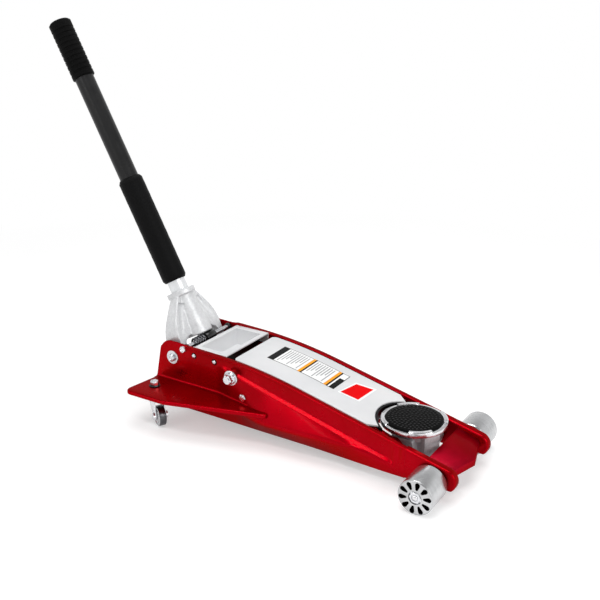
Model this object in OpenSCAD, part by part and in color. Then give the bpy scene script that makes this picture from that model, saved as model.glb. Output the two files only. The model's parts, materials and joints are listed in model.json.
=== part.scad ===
// Low-profile trolley jack: a rolling frame with a hydraulic unit, a lift arm with a level saddle,
// and a pump handle in a cast yoke.
// +X points to the lifting end, +Z is up, and Y = 0 is the middle plane. Lengths are in millimetres.
// The modules are drawn with X = 0 on the front axle, and placed() moves them to the part's origin.

/* [Front rollers] */
// Radius of a front roller
roller_r = 29.7; // [27:0.1:32]
// Width of a front roller
roller_w = 55.5; // [45:0.5:62]
// Radius of the front axle
axle_r = 8; // [7:0.5:9]
// Number of oval lightening holes in a roller
roller_holes = 10; // [6:1:11]

/* [Side plates] */
// Half of the clear width between the side plates
plate_in = 66; // [64.5:0.5:70]
// Thickness of the pressed sheet
sheet_t = 4; // [3:0.5:5]
// Height of the plates' top edge at the tool tray
top_z = 144; // [142:1:150]
// Clearance between the plates and the floor
plate_z = 19; // [15:1:22]
// Depth of the pressed step along the side
step_d = 6; // [4:0.5:7]
// How far the pressed rail bulges out
bulge_d = 22; // [12:1:26]
// X of the plates' rear edge at the caster wing
rear_x = -565; // [-575:1:-560]
// Inner half width at the thick nose
nose_in = 60.5; // [60.2:0.1:61.5]

/* [Caster wings] */
// Height of the wings' top face
wing_z = 70; // [68:1:74]
// Half of the jack's width over the wings
wing_y = 151; // [148:1:156]
// Depth of the wings' turned-down rim
wing_rim = 7; // [5:0.5:9]

/* [Casters] */
// Radius of a caster wheel
caster_r = 19; // [17:0.5:20.5]
// Width of a caster wheel
caster_w = 14; // [11:0.5:16]
// Trail of a caster wheel behind its swivel
caster_trail = 21; // [17:0.5:23]
// Rest direction of the casters, measured from the X axis
caster_turn = 30; // [0:1:45]

/* [Lift arm] */
// X of the lift arm's pivot
pivot_x = -385; // [-386:1:-384]
// Height of the lift arm's pivot
pivot_z = 111; // [109:1:113]
// X of the saddle head's hinge
head_x = -80; // [-84:1:-78]
// Height of the saddle head's hinge
head_z = 56; // [55:1:60]
// Outer half width of the arm's cheeks
cheek_y = 54; // [50:0.5:54.5]
// Thickness of the arm's cheeks
cheek_t = 8; // [6:0.5:10]
// Radius of the lift pivot shaft
pivot_r = 12; // [10:0.5:13]
// Distance of the thrust pin from the pivot
thrust_arm = 60; // [56:1:61]

/* [Cover plate] */
// Half width of the arm's cover plate
cover_y = 63; // [61:0.5:64.5]
// Thickness of the cover plate
cover_t = 3; // [2:0.5:4]

/* [Saddle] */
// X of the saddle's swivel axis
saddle_x = -67.7; // [-70:0.1:-66]
// Height of the saddle pad's top, the lowest lifting height
saddle_z = 89.6; // [88:0.1:94]
// Outer radius of the saddle's rim
saddle_r = 55.7; // [52:0.1:57]
// Radius of the rubber pad
pad_r = 47.8; // [40:0.1:48.5]
// Thickness of the rubber pad
pad_t = 7; // [5:0.5:8]

/* [Hydraulic unit] */
// Radius of the ram
ram_r = 17; // [14:0.5:18]
// Radius of the main cylinder's outside
cylinder_r = 25; // [23:0.5:27]
// Radius of a pump plunger
plunger_r = 6; // [5:0.5:7]
// Distance of each pump plunger from the middle plane
plunger_y = 20; // [18:0.5:22]

/* [Handle] */
// Lean of the handle back from upright at rest
lean = 28.6; // [25:0.1:32]
// Radius of the lower handle tube
tube_r = 17; // [15:0.5:17.5]
// Wall of the lower handle tube
tube_t = 2; // [1.5:0.5:3]
// Distance from the yoke's pivot to the handle's tip
handle_l = 648; // [560:1:680]
// Length of the foam sleeve
foam_l = 208; // [150:1:215]
// Radius of the foam sleeve
foam_r = 23; // [21:0.5:25]

/* [Tool tray] */
// Half width of the tray's rim
tray_y = 65; // [60:0.5:65.5]
// Depth of the tray
tray_d = 26; // [15:1:28]

/* [Hidden] */
$fn = 48;
run = 0.05;   // radial running clearance of a pin in its bore
gap = 0.3;    // clearance between faces that slide or nearly touch
plate_out = plate_in + sheet_t;
nose_out = plate_out + step_d;
rear_slope = 0.035;
front_slope = 0.2364;
bend_x = -430;
bend_r = 900;
bend_end = bend_x + (front_slope - rear_slope) * bend_r;
crease_slope = 0.2527;
crease_z0 = 24;
nose_r = 20;
nose_x = 21;
rear_lean = 13.6;
rear_corner_r = 25;
ridge_z = 50;
bulge_rear = -305;

tip_u = 18.4;
roller_in = nose_out + 3.5;
roller_out = roller_in + roller_w;

// Height of the side plates' top edge at x
function bent(x) = top_z - rear_slope * (x - bend_x) - pow(x - bend_x, 2) / (2 * bend_r);
function z_top(x) = x < bend_x ? top_z - rear_slope * (x - bend_x)
    : x < bend_end ? bent(x)
    : bent(bend_end) - front_slope * (x - bend_end);
nose_z = z_top(nose_x) - nose_r / cos(atan(front_slope));

// 0 before a, 1 after b, and a smooth rise between
function rise(x, a, b) = let (t = max(0, min(1, (x - a) / (b - a)))) t * t * (3 - 2 * t);

// Outline of the convex hull of circles [x, y, r] listed counterclockwise, with true tangents
function tangent_angle(c, i) =
    let (j = (i + 1) % len(c), dx = c[j].x - c[i].x, dy = c[j].y - c[i].y)
    atan2(dy, dx) - 90 + asin((c[i].z - c[j].z) / norm([dx, dy]));
function after(a, b) = b < a - 0.001 ? after(a, b + 360) : b;
function round_outline(c, n = 8) = [
    for (j = [0:len(c) - 1])
        let (
            a0 = tangent_angle(c, (j + len(c) - 1) % len(c)),
            a1 = after(a0, tangent_angle(c, j))
        )
        for (k = [0:n])
            let (a = a0 + (a1 - a0) * k / n)
            [c[j].x + c[j].z * cos(a), c[j].y + c[j].z * sin(a)]
];

// A rod along Y from y0 to y1
module y_rod(x, z, y0, y1, r, sides = 48)
    translate([x, y0, z]) rotate([-90, 0, 0]) cylinder(h = y1 - y0, r = r, $fn = sides);

// A rod along X from x0 to x1
module x_rod(y, z, x0, x1, r, sides = 48)
    translate([x0, y, z]) rotate([0, 90, 0]) cylinder(h = x1 - x0, r = r, $fn = sides);

// A slab of an X-Z outline between y0 and y1
module xz_slab(y0, y1)
    translate([0, y1, 0]) rotate([90, 0, 0]) linear_extrude(y1 - y0) children();

module both_sides() {
    children();
    mirror([0, 1, 0]) children();
}

// ---------------------------------------------------------------- side plates

// Depth of the pressed bulge at x
function bulge(x) = bulge_d * rise(x, -400, bulge_rear) * (1 - rise(x, bulge_rear - 20, -45));
function crease(x) = min(crease_z0 - crease_slope * x, z_top(x) - 14);
seam = 0.2;   // how far a flat piece stands proud of the pressed sheet where they join
fillet_r = 14;
fillet_rear = rear_x + 9;
fillet_front = -437;
fillet_fade = 50;

// The sheet's cross-section at x, as [outwards, height] points
function plate_section(x) =
    let (
        top = z_top(x) - seam,
        lip = nose_out - seam,
        inner = plate_in + seam,
        flat = plate_out - seam,
        strip = flat + step_d * rise(x, -66, -50),
        zc = crease(x),
        zs = zc - 5,
        zr = min(ridge_z, zs - 4),
        ys = max(strip, flat + step_d * rise(x, -422, -383)),
        yr = ys + 0.15 + bulge(x),
        yb = flat + 5 * rise(x, -250, -60)
    )
    [
        [inner, top],
        [lip - 1, top],
        [lip, top - 1],
        [lip, top - 4],
        [strip + 0.1, top - 6],
        [strip, zc],
        [ys, zs],
        [yr - 0.1, zr + 4],
        [yr, zr],
        [yr - 0.3, zr - 5],
        [yb - 0.1, plate_z - 1],
        [yb - sheet_t + 2 * seam, plate_z - 1],
        [max(yr - sheet_t, inner + 0.1), zr - 4],
        [max(yr - sheet_t, inner + 0.1) + 0.2, zr + 2],
        [max(ys - sheet_t, inner) + 0.2, zs - 2],
        [inner + 0.1, zc - 2]
    ];

loft_x0 = -432;
loft_x1 = -45;
plate_stations = concat(
    [loft_x0],
    [for (x = [-424:8:-304]) x],
    [for (x = [-290:20:-90]) x],
    [for (x = [-70:5:-50]) x],
    [loft_x1]
);

// A polyhedron through equal rings of [x, outwards, z] points
module loft(rings) {
    m = len(rings[0]);
    points = [for (ring = rings) for (p = ring) [p.x, -p.y, p.z]];
    sides = [
        for (i = [0:len(rings) - 2]) for (k = [0:m - 1])
            let (a = i * m + k, b = i * m + (k + 1) % m) each [[b, a, b + m], [b + m, a, a + m]]
    ];
    first = [for (k = [0:m - 1]) k];
    last = [for (k = [m - 1:-1:0]) (len(rings) - 1) * m + k];
    polyhedron(points, concat(sides, [first], [last]), convexity = 6);
}

corner_z = z_top(-527) - rear_corner_r;
corner_x = rear_x + (corner_z - wing_z) * tan(rear_lean) + rear_corner_r / cos(rear_lean);

// Points of an arc about [x, y] from angle a0 to a1
function arc(x, y, r, a0, a1, n) = [for (i = [0:n]) let (a = a0 + (a1 - a0) * i / n) [x + r * cos(a), y + r * sin(a)]];

module plate_outline()
    polygon(concat(
        [[rear_x, wing_z - 4]],
        arc(corner_x, corner_z, rear_corner_r, 180 - rear_lean, 88, 9),
        [for (x = [-500, bend_x, -410, -390, -370, -350, -330, -310, -290, -270, bend_end]) [x, z_top(x)]],
        arc(nose_x, nose_z, nose_r, 90 - atan(front_slope), asin((plate_z - nose_z) / nose_r), 12),
        [[-516, plate_z], [-556, wing_z - 10]]
    ));

// Plan outline of the caster wing on the near side
function wing_corners(inset) = [
    [rear_x + 8 + inset, -plate_in - 2, 0.5],
    [rear_x + 6, -wing_y + 13, 13 - inset],
    [-484, -wing_y + 10, 9 - inset],
    [bulge_rear - 2, -plate_out - 22, 7 - inset],
    [bulge_rear - 6, -plate_in - 2, 0.5]
];

module caster_wing() {
    translate([0, 0, wing_z - wing_rim])
        linear_extrude(wing_rim) polygon(round_outline(wing_corners(0)));
}

module wing_hollow() {
    translate([0, 0, wing_z - wing_rim - 1])
        linear_extrude(wing_rim - sheet_t + 1)
            intersection() {
                polygon(round_outline(wing_corners(3.5)));
                translate([-600, -200]) square([400, 200 - plate_out]);
            }
}

// Hollow fillet between the flat side and the wing, fading out towards the bulge
module wing_fillet()
    difference() {
        translate([fillet_rear, -plate_out - fillet_r, wing_z - 1])
            cube([fillet_front - fillet_rear, fillet_r + 1, fillet_r + 1]);
        x_rod(-plate_out - fillet_r, wing_z + fillet_r, fillet_rear - 1, fillet_front + 1, fillet_r - 0.15);
        translate([fillet_front, -plate_out, wing_z])
            rotate([0, -atan2(fillet_fade, norm([fillet_r, fillet_fade])), -atan2(fillet_fade, fillet_r)])
                translate([0, -100, -100]) cube(200);
    }

caster_x = -537;
caster_y = 108;
yoke_x = -523;
yoke_z = 116;
rod_x = -496;
rod_z = 138;
link_dx = 27;
link_dz = -30;
link_x = pivot_x + link_dx;
link_z = pivot_z + link_dz;
link_pin_r = 6;
link_seat = nose_out + 2.5;
stud_r = 5;
yoke_pin_r = 9;
stop_rod_r = 4.5;
tray_screw_r = 2.5;
tray_screws_at = [[-472.7, 130], [-427, 128.5]];

// Part of the flat outline between two stations
module plate_piece(y0, y1, x0, x1)
    xz_slab(y0, y1) intersection() {
        plate_outline();
        translate([x0, 0]) square([x1 - x0, 200]);
    }

module side_plate() {
    difference() {
        union() {
            plate_piece(-plate_out, -plate_in, -600, loft_x0 + 7);
            plate_piece(-nose_out, -nose_in, loft_x1 - 4, 100);
            xz_slab(-nose_out, -plate_in - 1) polygon([
                [-487, z_top(-487) - 1], [-478, z_top(-478) + seam], [loft_x0 + 6, z_top(loft_x0 + 6) + seam],
                [loft_x0 + 6, z_top(loft_x0 + 6) - 4], [-478, z_top(-478) - 4]
            ]);
            intersection() {
                loft([for (x = plate_stations) [for (p = plate_section(x)) [x, p.x, p.y]]]);
                translate([-500, -200, plate_z + seam]) cube([600, 200, 300]);
            }
            difference() {
                caster_wing();
                wing_hollow();
            }
            wing_fillet();
            y_rod(pivot_x, pivot_z, -nose_out - 1, -plate_in - 2, pivot_r + 4);
            y_rod(link_x, link_z, -link_seat, -plate_in - 2, link_pin_r + 4.5);
        }
        translate([bulge_rear - 3, -plate_out - 22, wing_z - seam]) cylinder(h = 20, r = 10);
        y_rod(pivot_x, pivot_z, -100, 0, pivot_r + run);
        y_rod(link_x, link_z, -100, 0, link_pin_r + run);
        y_rod(link_x, link_z, -120, -link_seat, link_pin_r + 3);
        y_rod(yoke_x, yoke_z, -100, 0, yoke_pin_r + run);
        y_rod(rod_x, rod_z, -100, 0, stop_rod_r + run);
        for (s = tray_screws_at) y_rod(s[0], s[1], -100, 0, tray_screw_r + run);
        y_rod(0, roller_r, -100, 0, axle_r + run);
        translate([caster_x, -caster_y, 0]) cylinder(h = 100, r = stud_r + run);
    }
}

module side_plate_near() placed() color("firebrick") side_plate();
module side_plate_far() placed() color("firebrick") mirror([0, 1, 0]) side_plate();

// ---------------------------------------------------------------- cross members and tray

hood_rear_x = -14;
hood_z = 58;
hood_t = 4;

// Outer skin of the folded hood between the noses: a sloping top, a V-shaped fold and a blunt point
module hood_solid(dx, drop) {
    y = nose_in;
    polyhedron(
        [
            [hood_rear_x + dx, -y, hood_z - drop], [hood_rear_x + dx, y, hood_z - drop],
            [9 + dx, -y, hood_z - 6.2 - drop], [9 + dx, y, hood_z - 6.2 - drop],
            [27 + dx, 0, hood_z - 6.2 * 41 / 23 - drop],
            [25.5 + dx, -y, hood_z - 13.6 - drop], [25.5 + dx, y, hood_z - 13.6 - drop],
            [42.4 + dx, 0, hood_z - 13.6 - drop],
            [25.5 + dx, -y, hood_z - 26 - drop], [25.5 + dx, y, hood_z - 26 - drop], [42.4 + dx, 0, hood_z - 26 - drop],
            [hood_rear_x + dx, -y, hood_z - 26 - drop], [hood_rear_x + dx, y, hood_z - 26 - drop]
        ],
        [
            [0, 1, 3, 4, 2],
            [2, 4, 7], [2, 7, 5], [3, 7, 4], [3, 6, 7],
            [5, 7, 10, 8], [6, 9, 10, 7],
            [0, 2, 5, 8, 11], [1, 12, 9, 6, 3],
            [0, 11, 12, 1],
            [8, 10, 9, 12, 11]
        ]
    );
}

module front_hood() placed() color("firebrick")
    difference() {
        hood_solid(0, 0);
        hood_solid(-hood_t, hood_t);
    }

base_t = 5;
base_z = plate_z + 2;
base_rear = -510;
base_l = 84;
unit_bolts_x = [-488, -456];
unit_bolt_y = 26;
unit_bolt_r = 4;

module base_plate() placed() color("firebrick")
    difference() {
        translate([base_rear, -plate_in, base_z]) cube([base_l, 2 * plate_in, base_t]);
        for (x = unit_bolts_x) for (y = [-unit_bolt_y, unit_bolt_y])
            translate([x, y, 0]) cylinder(h = 60, r = unit_bolt_r + run);
    }

tray_rear = -477;
tray_front = -403;
tray_wall = 2;
tray_rim_z = z_top(tray_rear) - 2.2;
tray_flange = 2.5;

module tray_dish(grow, top)
    hull() {
        translate([tray_rear + 9 - grow, -tray_y + 12 - grow, 0])
            cube([tray_front - tray_rear - 18 + 2 * grow, 2 * (tray_y - 12 + grow), top]);
        translate([tray_rear + 19 - grow, -tray_y + 24 - grow, tray_wall - tray_d - grow])
            cube([tray_front - tray_rear - 36 + 2 * grow, 2 * (tray_y - 24 + grow), 1]);
    }

module tool_tray() placed() color("whitesmoke")
    difference() {
        translate([0, 0, tray_rim_z - tray_wall]) difference() {
            union() {
                translate([tray_rear, -tray_y, 0]) cube([tray_front - tray_rear, 2 * tray_y, tray_wall]);
                tray_dish(tray_wall, tray_wall);
                both_sides() translate([tray_rear, -plate_in, tray_wall - 20])
                    cube([tray_front - tray_rear, tray_flange, 20]);
            }
            tray_dish(0, tray_wall + 1);
        }
        for (s = tray_screws_at) y_rod(s[0], s[1], -100, 100, tray_screw_r + run);
    }

module tray_screws() placed() color("silver")
    both_sides() for (s = tray_screws_at) {
        y_rod(s[0], s[1], -plate_out, -plate_in + tray_flange + 3, tray_screw_r);
        y_rod(s[0], s[1], -plate_out - 2.5, -plate_out, 4.5);
    }

// ---------------------------------------------------------------- yoke pivot and stop rod

ear_in = 48;
ear_out = 60;

module yoke_pivot_bolts() placed() color("silver")
    both_sides() {
        y_rod(yoke_x, yoke_z, -plate_out - 2, -ear_in, yoke_pin_r);
        y_rod(yoke_x, yoke_z, -plate_out - 7, -plate_out - 2, yoke_pin_r - 1);
    }

module stop_rod() placed() color("silver") {
    y_rod(rod_x, rod_z, -plate_out - 1, plate_out + 1, stop_rod_r);
    both_sides() y_rod(rod_x, rod_z, -plate_out - 6, -plate_out, 7);
}

sleeve_r = 10.5;
sleeve_ring = 3;
spring_end = -41;
sleeve_end = -10;
sleeve_far = 16;

module stop_sleeves() placed() color("dimgray") {
    difference() {
        union() {
            y_rod(rod_x, rod_z, sleeve_end, sleeve_far, sleeve_r);
            y_rod(rod_x, rod_z, sleeve_far - 1, sleeve_far + sleeve_ring, sleeve_r - 2.5);
        }
        y_rod(rod_x, rod_z, sleeve_end - 1, sleeve_far + sleeve_ring + 1, stop_rod_r + run);
    }
    both_sides() difference() {
        y_rod(rod_x, rod_z, -plate_in, -ear_out - gap, stop_rod_r + 2.5);
        y_rod(rod_x, rod_z, -plate_in - 1, -ear_out + 1, stop_rod_r + run);
    }
}

spring_wire = 2.2;
spring_coils = 5;

module handle_spring() placed() color("black") {
    pitch = (sleeve_end - spring_end) / spring_coils;
    for (i = [0:spring_coils - 1])
        translate([rod_x, spring_end + pitch * (i + 0.5), rod_z]) rotate([90, 0, 0])
            rotate_extrude() translate([sleeve_r - spring_wire, 0]) circle(r = spring_wire, $fn = 16);
    difference() {
        y_rod(rod_x, rod_z, spring_end, sleeve_end - gap, sleeve_r - 2 * spring_wire + 0.6);
        y_rod(rod_x, rod_z, spring_end - 1, sleeve_end, stop_rod_r + run);
    }
}

// ---------------------------------------------------------------- lift pivot and link pivots

module lift_pivot_shaft() placed() color("silver") {
    y_rod(pivot_x, pivot_z, -nose_out - 1, nose_out + 1, pivot_r);
    both_sides() y_rod(pivot_x, pivot_z, -nose_out - 16, -nose_out - 1, 6);
}

module pivot_washers() placed() color("silver")
    both_sides() {
        difference() {
            y_rod(yoke_x, yoke_z, -plate_out - 2, -plate_out, 13);
            y_rod(yoke_x, yoke_z, -plate_out - 3, -plate_out + 1, yoke_pin_r + run);
        }
        difference() {
            y_rod(pivot_x, pivot_z, -nose_out - 4, -nose_out - 1, 14);
            y_rod(pivot_x, pivot_z, -nose_out - 5, -nose_out, 6 + run);
        }
    }

module lift_pivot_nuts() placed() color("silver")
    both_sides() difference() {
        union() {
            y_rod(pivot_x, pivot_z, -nose_out - 8, -nose_out - 4, 11);
            y_rod(pivot_x, pivot_z, -nose_out - 15, -nose_out - 8, 9);
        }
        y_rod(pivot_x, pivot_z, -nose_out - 16, -nose_out - 3, 6 + run);
    }

link_in = cheek_y + 1;
link_t = 4;
link_out = link_in + link_t;
link_eye = 9;
toe_x = head_x + link_dx;
toe_z = head_z + link_dz;

module link_pivots() placed() color("silver")
    both_sides() {
        y_rod(link_x, link_z, -link_seat, -link_in, link_pin_r);
        y_rod(link_x, link_z, -link_seat - 6, -link_seat, link_pin_r + 0.5);
        y_rod(link_x, link_z, -plate_in, -link_out - gap, link_pin_r + 3);
    }

// ---------------------------------------------------------------- hydraulic unit

ram_z = 54;
thrust_rest = 26;
thrust_r = 11;
thrust_x = pivot_x - thrust_arm * sin(thrust_rest);
thrust_z = pivot_z - thrust_arm * cos(thrust_rest);
ram_face = thrust_x - thrust_r - 0.7;
unit_rear = -498;
unit_front = -446;
gland_front = -438;
cylinder_rear = unit_rear - 36;
cap_l = 8;
cylinder_wall = 4;
filler_x = unit_front - 16;
filler_depth = 12;
ram_l = 104;
pump_pin_at = 18;
pump_pin_r = 6;
pump_swing = 27.5;
push_x = yoke_x - pump_pin_at * sin(pump_swing);
plunger_rear = push_x + pump_pin_r + 0.5;
pump_z = yoke_z - 17;
valve_r = 5;
valve_seat_x = -500;
valve_seat_z = 96;
knuckle_u = tip_u;
knuckle_h = 14;
knuckle_x = yoke_x + knuckle_u * cos(lean) - knuckle_h * sin(lean);
knuckle_z = yoke_z + knuckle_u * sin(lean) + knuckle_h * cos(lean);
valve_lean = atan2(valve_seat_x - knuckle_x, knuckle_z - valve_seat_z);
valve_l = norm([valve_seat_x - knuckle_x, knuckle_z - valve_seat_z]);
spring_y = 38;
spring_or = 5.5;

module on_valve() translate([valve_seat_x, 0, valve_seat_z]) rotate([0, -valve_lean, 0]) children();

module power_unit() placed() color("dimgray")
    difference() {
        union() {
            x_rod(0, ram_z, cylinder_rear, unit_front, cylinder_r);
            x_rod(0, ram_z, cylinder_rear - cap_l, cylinder_rear, cylinder_r - 5, 6);
            translate([unit_rear, -32, base_z + base_t])
                cube([unit_front - unit_rear, 64, pump_z - base_z - base_t]);
            for (y = [-plunger_y, plunger_y]) x_rod(y, pump_z, unit_rear, unit_front - 4, plunger_r + 5);
            translate([unit_rear, -spring_y - 8, ram_z - 6]) cube([6, 2 * spring_y + 16, 12]);
            on_valve() translate([0, 0, -24]) cylinder(h = 20, r = 10);
        }
        x_rod(0, ram_z, cylinder_rear + cylinder_wall, unit_front + 1, ram_r + cylinder_wall);
        for (y = [-plunger_y, plunger_y])
            x_rod(y, pump_z, unit_rear - 5, unit_front - 6, plunger_r + run);
        on_valve() translate([0, 0, -18]) cylinder(h = 60, r = valve_r + run);
        translate([filler_x, 0, pump_z - filler_depth]) cylinder(h = 40, r = 5 + run);
        for (x = unit_bolts_x) for (y = [-unit_bolt_y, unit_bolt_y])
            translate([x, y, 0]) cylinder(h = 42, r = unit_bolt_r + run);
        both_sides() x_rod(-spring_y, ram_z, unit_rear - 1, unit_rear + 7, 1.6);
    }

module ram_gland() placed() color("silver")
    difference() {
        union() {
            x_rod(0, ram_z, unit_front - 8, unit_front, ram_r + cylinder_wall - run);
            x_rod(0, ram_z, unit_front, gland_front, cylinder_r, 12);
        }
        x_rod(0, ram_z, unit_front - 9, gland_front + 1, ram_r + run);
    }

module pump_glands() placed() color("silver")
    for (y = [-plunger_y, plunger_y]) difference() {
        x_rod(y, pump_z, unit_rear - 5, unit_rear, 10, 6);
        x_rod(y, pump_z, unit_rear - 6, unit_rear + 1, plunger_r + run);
    }

module filler_plug() placed() color("black")
    translate([filler_x, 0, pump_z + 2 - filler_depth]) {
        cylinder(h = filler_depth - 2, r = 5);
        translate([0, 0, filler_depth - 2]) cylinder(h = 5, r = 7.5);
    }

module unit_bolts() placed() color("silver")
    for (x = unit_bolts_x) for (y = [-unit_bolt_y, unit_bolt_y]) translate([x, y, 0]) {
        translate([0, 0, base_z]) cylinder(h = 20, r = unit_bolt_r);
        translate([0, 0, base_z - 5]) cylinder(h = 5, r = 7, $fn = 6);
    }

crosshead_x = ram_face - 10;

module ram() placed() color("silver")
    difference() {
        union() {
            x_rod(0, ram_z, ram_face - ram_l, ram_face, ram_r);
            translate([crosshead_x, -spring_y - 5, ram_z - 7]) cube([5, 2 * spring_y + 10, 14]);
        }
        both_sides() x_rod(-spring_y, ram_z, crosshead_x - 1, crosshead_x + 6, 1.6);
    }

module return_spring() {
    from = unit_rear + 6;
    coils = 16;
    pitch = (crosshead_x - from - 2) / coils;
    difference() {
        x_rod(-spring_y, ram_z, from + 1, crosshead_x - 1, spring_or);
        x_rod(-spring_y, ram_z, from - 1, crosshead_x + 1, spring_or - 1.2);
        for (i = [0:coils - 1]) translate([from + 1 + pitch * (i + 0.5) - 0.7, -spring_y, ram_z])
            rotate([0, 90, 0]) difference() {
                cylinder(h = 1.4, r = spring_or + 1);
                cylinder(h = 1.4, r = spring_or - 0.6);
            }
    }
    x_rod(-spring_y, ram_z, from - 4, from + 2, 1.5, 16);
    x_rod(-spring_y, ram_z, crosshead_x - 2, crosshead_x + 5, 1.5, 16);
    for (x = [from + 1, crosshead_x - 2.4]) x_rod(-spring_y, ram_z, x, x + 1.4, spring_or - 0.6);
}

module return_spring_near() placed() color("silver") return_spring();
module return_spring_far() placed() color("silver") mirror([0, 1, 0]) return_spring();

module pump_plunger() {
    x_rod(-plunger_y, pump_z, plunger_rear, plunger_rear + 54, plunger_r);
    x_rod(-plunger_y, pump_z, plunger_rear, plunger_rear + 3, plunger_r + 3);
}

module pump_plunger_near() placed() color("silver") pump_plunger();
module pump_plunger_far() placed() color("silver") mirror([0, 1, 0]) pump_plunger();

module plunger_springs() placed() color("gray") {
    from = plunger_rear + 3;
    pitch = (unit_rear - 5 - from) / 4;
    both_sides() {
        for (i = [0:3]) translate([from + pitch * (i + 0.5), -plunger_y, pump_z]) rotate([0, 90, 0])
            rotate_extrude() translate([plunger_r + 1.6, 0]) circle(r = 1.1, $fn = 14);
        difference() {
            x_rod(-plunger_y, pump_z, from, unit_rear - 5, plunger_r + 1);
            x_rod(-plunger_y, pump_z, from - 1, unit_rear - 4, plunger_r + run);
        }
    }
}

module release_valve() placed() color("silver")
    on_valve() {
        translate([0, 0, -17]) cylinder(h = 17 + valve_l, r = valve_r - 1);
        translate([0, 0, -17]) cylinder(h = 13, r = valve_r);
        translate([0, 0, valve_l]) sphere(r = 4);
    }

// ---------------------------------------------------------------- lift arm, links and head

hub_r = 16;
eye_r = 15;
web_t = 4;
arm_drop = cover_t + 1.2;

function arm_top(x) = z_top(x) - arm_drop;

module arm_outline() {
    polygon([
        [pivot_x - 2, pivot_z + 23],
        for (x = [-372:20:-152]) [x, arm_top(x)],
        [-136, arm_top(-136)],
        [head_x - 4, head_z + eye_r - 0.6],
        [head_x, head_z - eye_r],
        [-250, 64],
        [-340, 74],
        [pivot_x - 4, pivot_z - 23]
    ]);
    translate([pivot_x, pivot_z]) circle(r = 23.5);
    translate([head_x, head_z]) circle(r = eye_r);
    polygon(round_outline([[pivot_x, pivot_z, 22], [thrust_x, thrust_z, 17], [pivot_x + 30, pivot_z - 20, 12]]));
}

module lift_arm() placed() color("firebrick")
    difference() {
        union() {
            both_sides() xz_slab(-cheek_y, -cheek_y + cheek_t) arm_outline();
            xz_slab(-cheek_y + cheek_t - 1, cheek_y - cheek_t + 1) polygon([
                for (x = [-372:20:-152]) [x, arm_top(x)],
                for (x = [-152:-20:-372]) [x, arm_top(x) - web_t]
            ]);
            y_rod(pivot_x, pivot_z, -cheek_y, cheek_y, 20);
        }
        y_rod(pivot_x, pivot_z, -100, 100, hub_r + run);
        y_rod(head_x, head_z, -100, 100, 8 + run);
        y_rod(thrust_x, thrust_z, -100, 100, thrust_r + run);
    }

module arm_bush() placed() color("goldenrod")
    difference() {
        y_rod(pivot_x, pivot_z, -plate_in + gap, plate_in - gap, hub_r);
        y_rod(pivot_x, pivot_z, -100, 100, pivot_r + run);
    }

module thrust_pin() placed() color("silver")
    y_rod(thrust_x, thrust_z, -cheek_y, cheek_y, thrust_r);

cover_rear = pivot_x - 4;
cover_front = -100;
cover_rim = 8;
cover_corner = 8;

function cover_band(from, to, drop0, drop1) = concat(
    [for (i = [0:16]) let (x = from + (to - from) * i / 16) [x, z_top(x) - 1 - drop0]],
    [for (i = [16:-1:0]) let (x = from + (to - from) * i / 16) [x, z_top(x) - 1 - drop1]]
);

module arm_cover() placed() color("whitesmoke")
    difference() {
        xz_slab(-cover_y, cover_y) polygon(cover_band(cover_rear, cover_front, 0, cover_rim));
        xz_slab(-cover_y + cover_t, cover_y - cover_t)
            polygon(cover_band(cover_rear - 1, cover_front + 10, cover_t, cover_rim + 4));
        translate([saddle_x, 0, 0]) cylinder(h = 200, r = saddle_r + 9);
        both_sides() translate([0, 0, 40]) linear_extrude(110) {
            polygon([
                [cover_front - 25, -cover_y - 1], [cover_front - 7, -cover_y + 13],
                [cover_front + 10, -cover_y + 13], [cover_front + 10, -cover_y - 1]
            ]);
            difference() {
                translate([cover_rear - 1, -cover_y - 1]) square(cover_corner + 1);
                translate([cover_rear + cover_corner, -cover_y + cover_corner]) circle(r = cover_corner);
            }
        }
    }

module link_bar()
    difference() {
        xz_slab(-link_out, -link_in)
            polygon(round_outline([[link_x, link_z, link_eye], [toe_x, toe_z, link_eye]]));
        y_rod(link_x, link_z, -100, 0, link_pin_r + run);
        y_rod(toe_x, toe_z, -100, 0, link_pin_r + run);
    }

module parallel_link_near() placed() color("silver") link_bar();
module parallel_link_far() placed() color("silver") mirror([0, 1, 0]) link_bar();

module head_pin() placed() color("silver") {
    y_rod(head_x, head_z, -cheek_y - 0.5, cheek_y + 0.5, 8);
    both_sides() y_rod(head_x, head_z, -cheek_y - 0.7, -cheek_y, 10);
}

module toe_pin() placed() color("silver")
    y_rod(toe_x, toe_z, -link_out - 0.5, link_out + 0.5, link_pin_r);

head_y = cheek_y - cheek_t - gap;
seat_z = saddle_z - pad_t - 10.3;
stub_r = 14;
block_y = 30;
block_x = -33.5;
block_tip = -20.5;

module saddle_head() placed() color("silver")
    difference() {
        union() {
            xz_slab(-head_y, head_y) polygon(round_outline([
                [head_x, head_z, eye_r - 1], [toe_x, toe_z, 11], [block_x - 22, seat_z - 8, 7]
            ]));
            intersection() {
                linear_extrude(seat_z - 0.6) polygon([
                    [head_x, -block_y], [block_x, -block_y], [block_tip, 0], [block_x, block_y], [head_x, block_y]
                ]);
                xz_slab(-head_y, head_y) polygon([
                    [head_x, head_z], [toe_x, toe_z - 6], [block_x, toe_z - 2], [block_x + 20, toe_z + 12],
                    [block_x + 20, seat_z], [head_x, seat_z]
                ]);
            }
            xz_slab(-link_in + gap, link_in - gap) polygon(round_outline([
                [toe_x, toe_z, 11], [toe_x + 12, toe_z + 14, 5]
            ]));
            translate([saddle_x, 0, seat_z - 8]) cylinder(h = 8, r = 40);
            translate([saddle_x, 0, seat_z]) cylinder(h = 6.4, r = stub_r);
        }
        y_rod(head_x, head_z, -100, 100, 8 + run);
        y_rod(toe_x, toe_z, -100, 100, link_pin_r + run);
        translate([-60, -18, 0]) cube([40, 36, 34]);
    }

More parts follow.
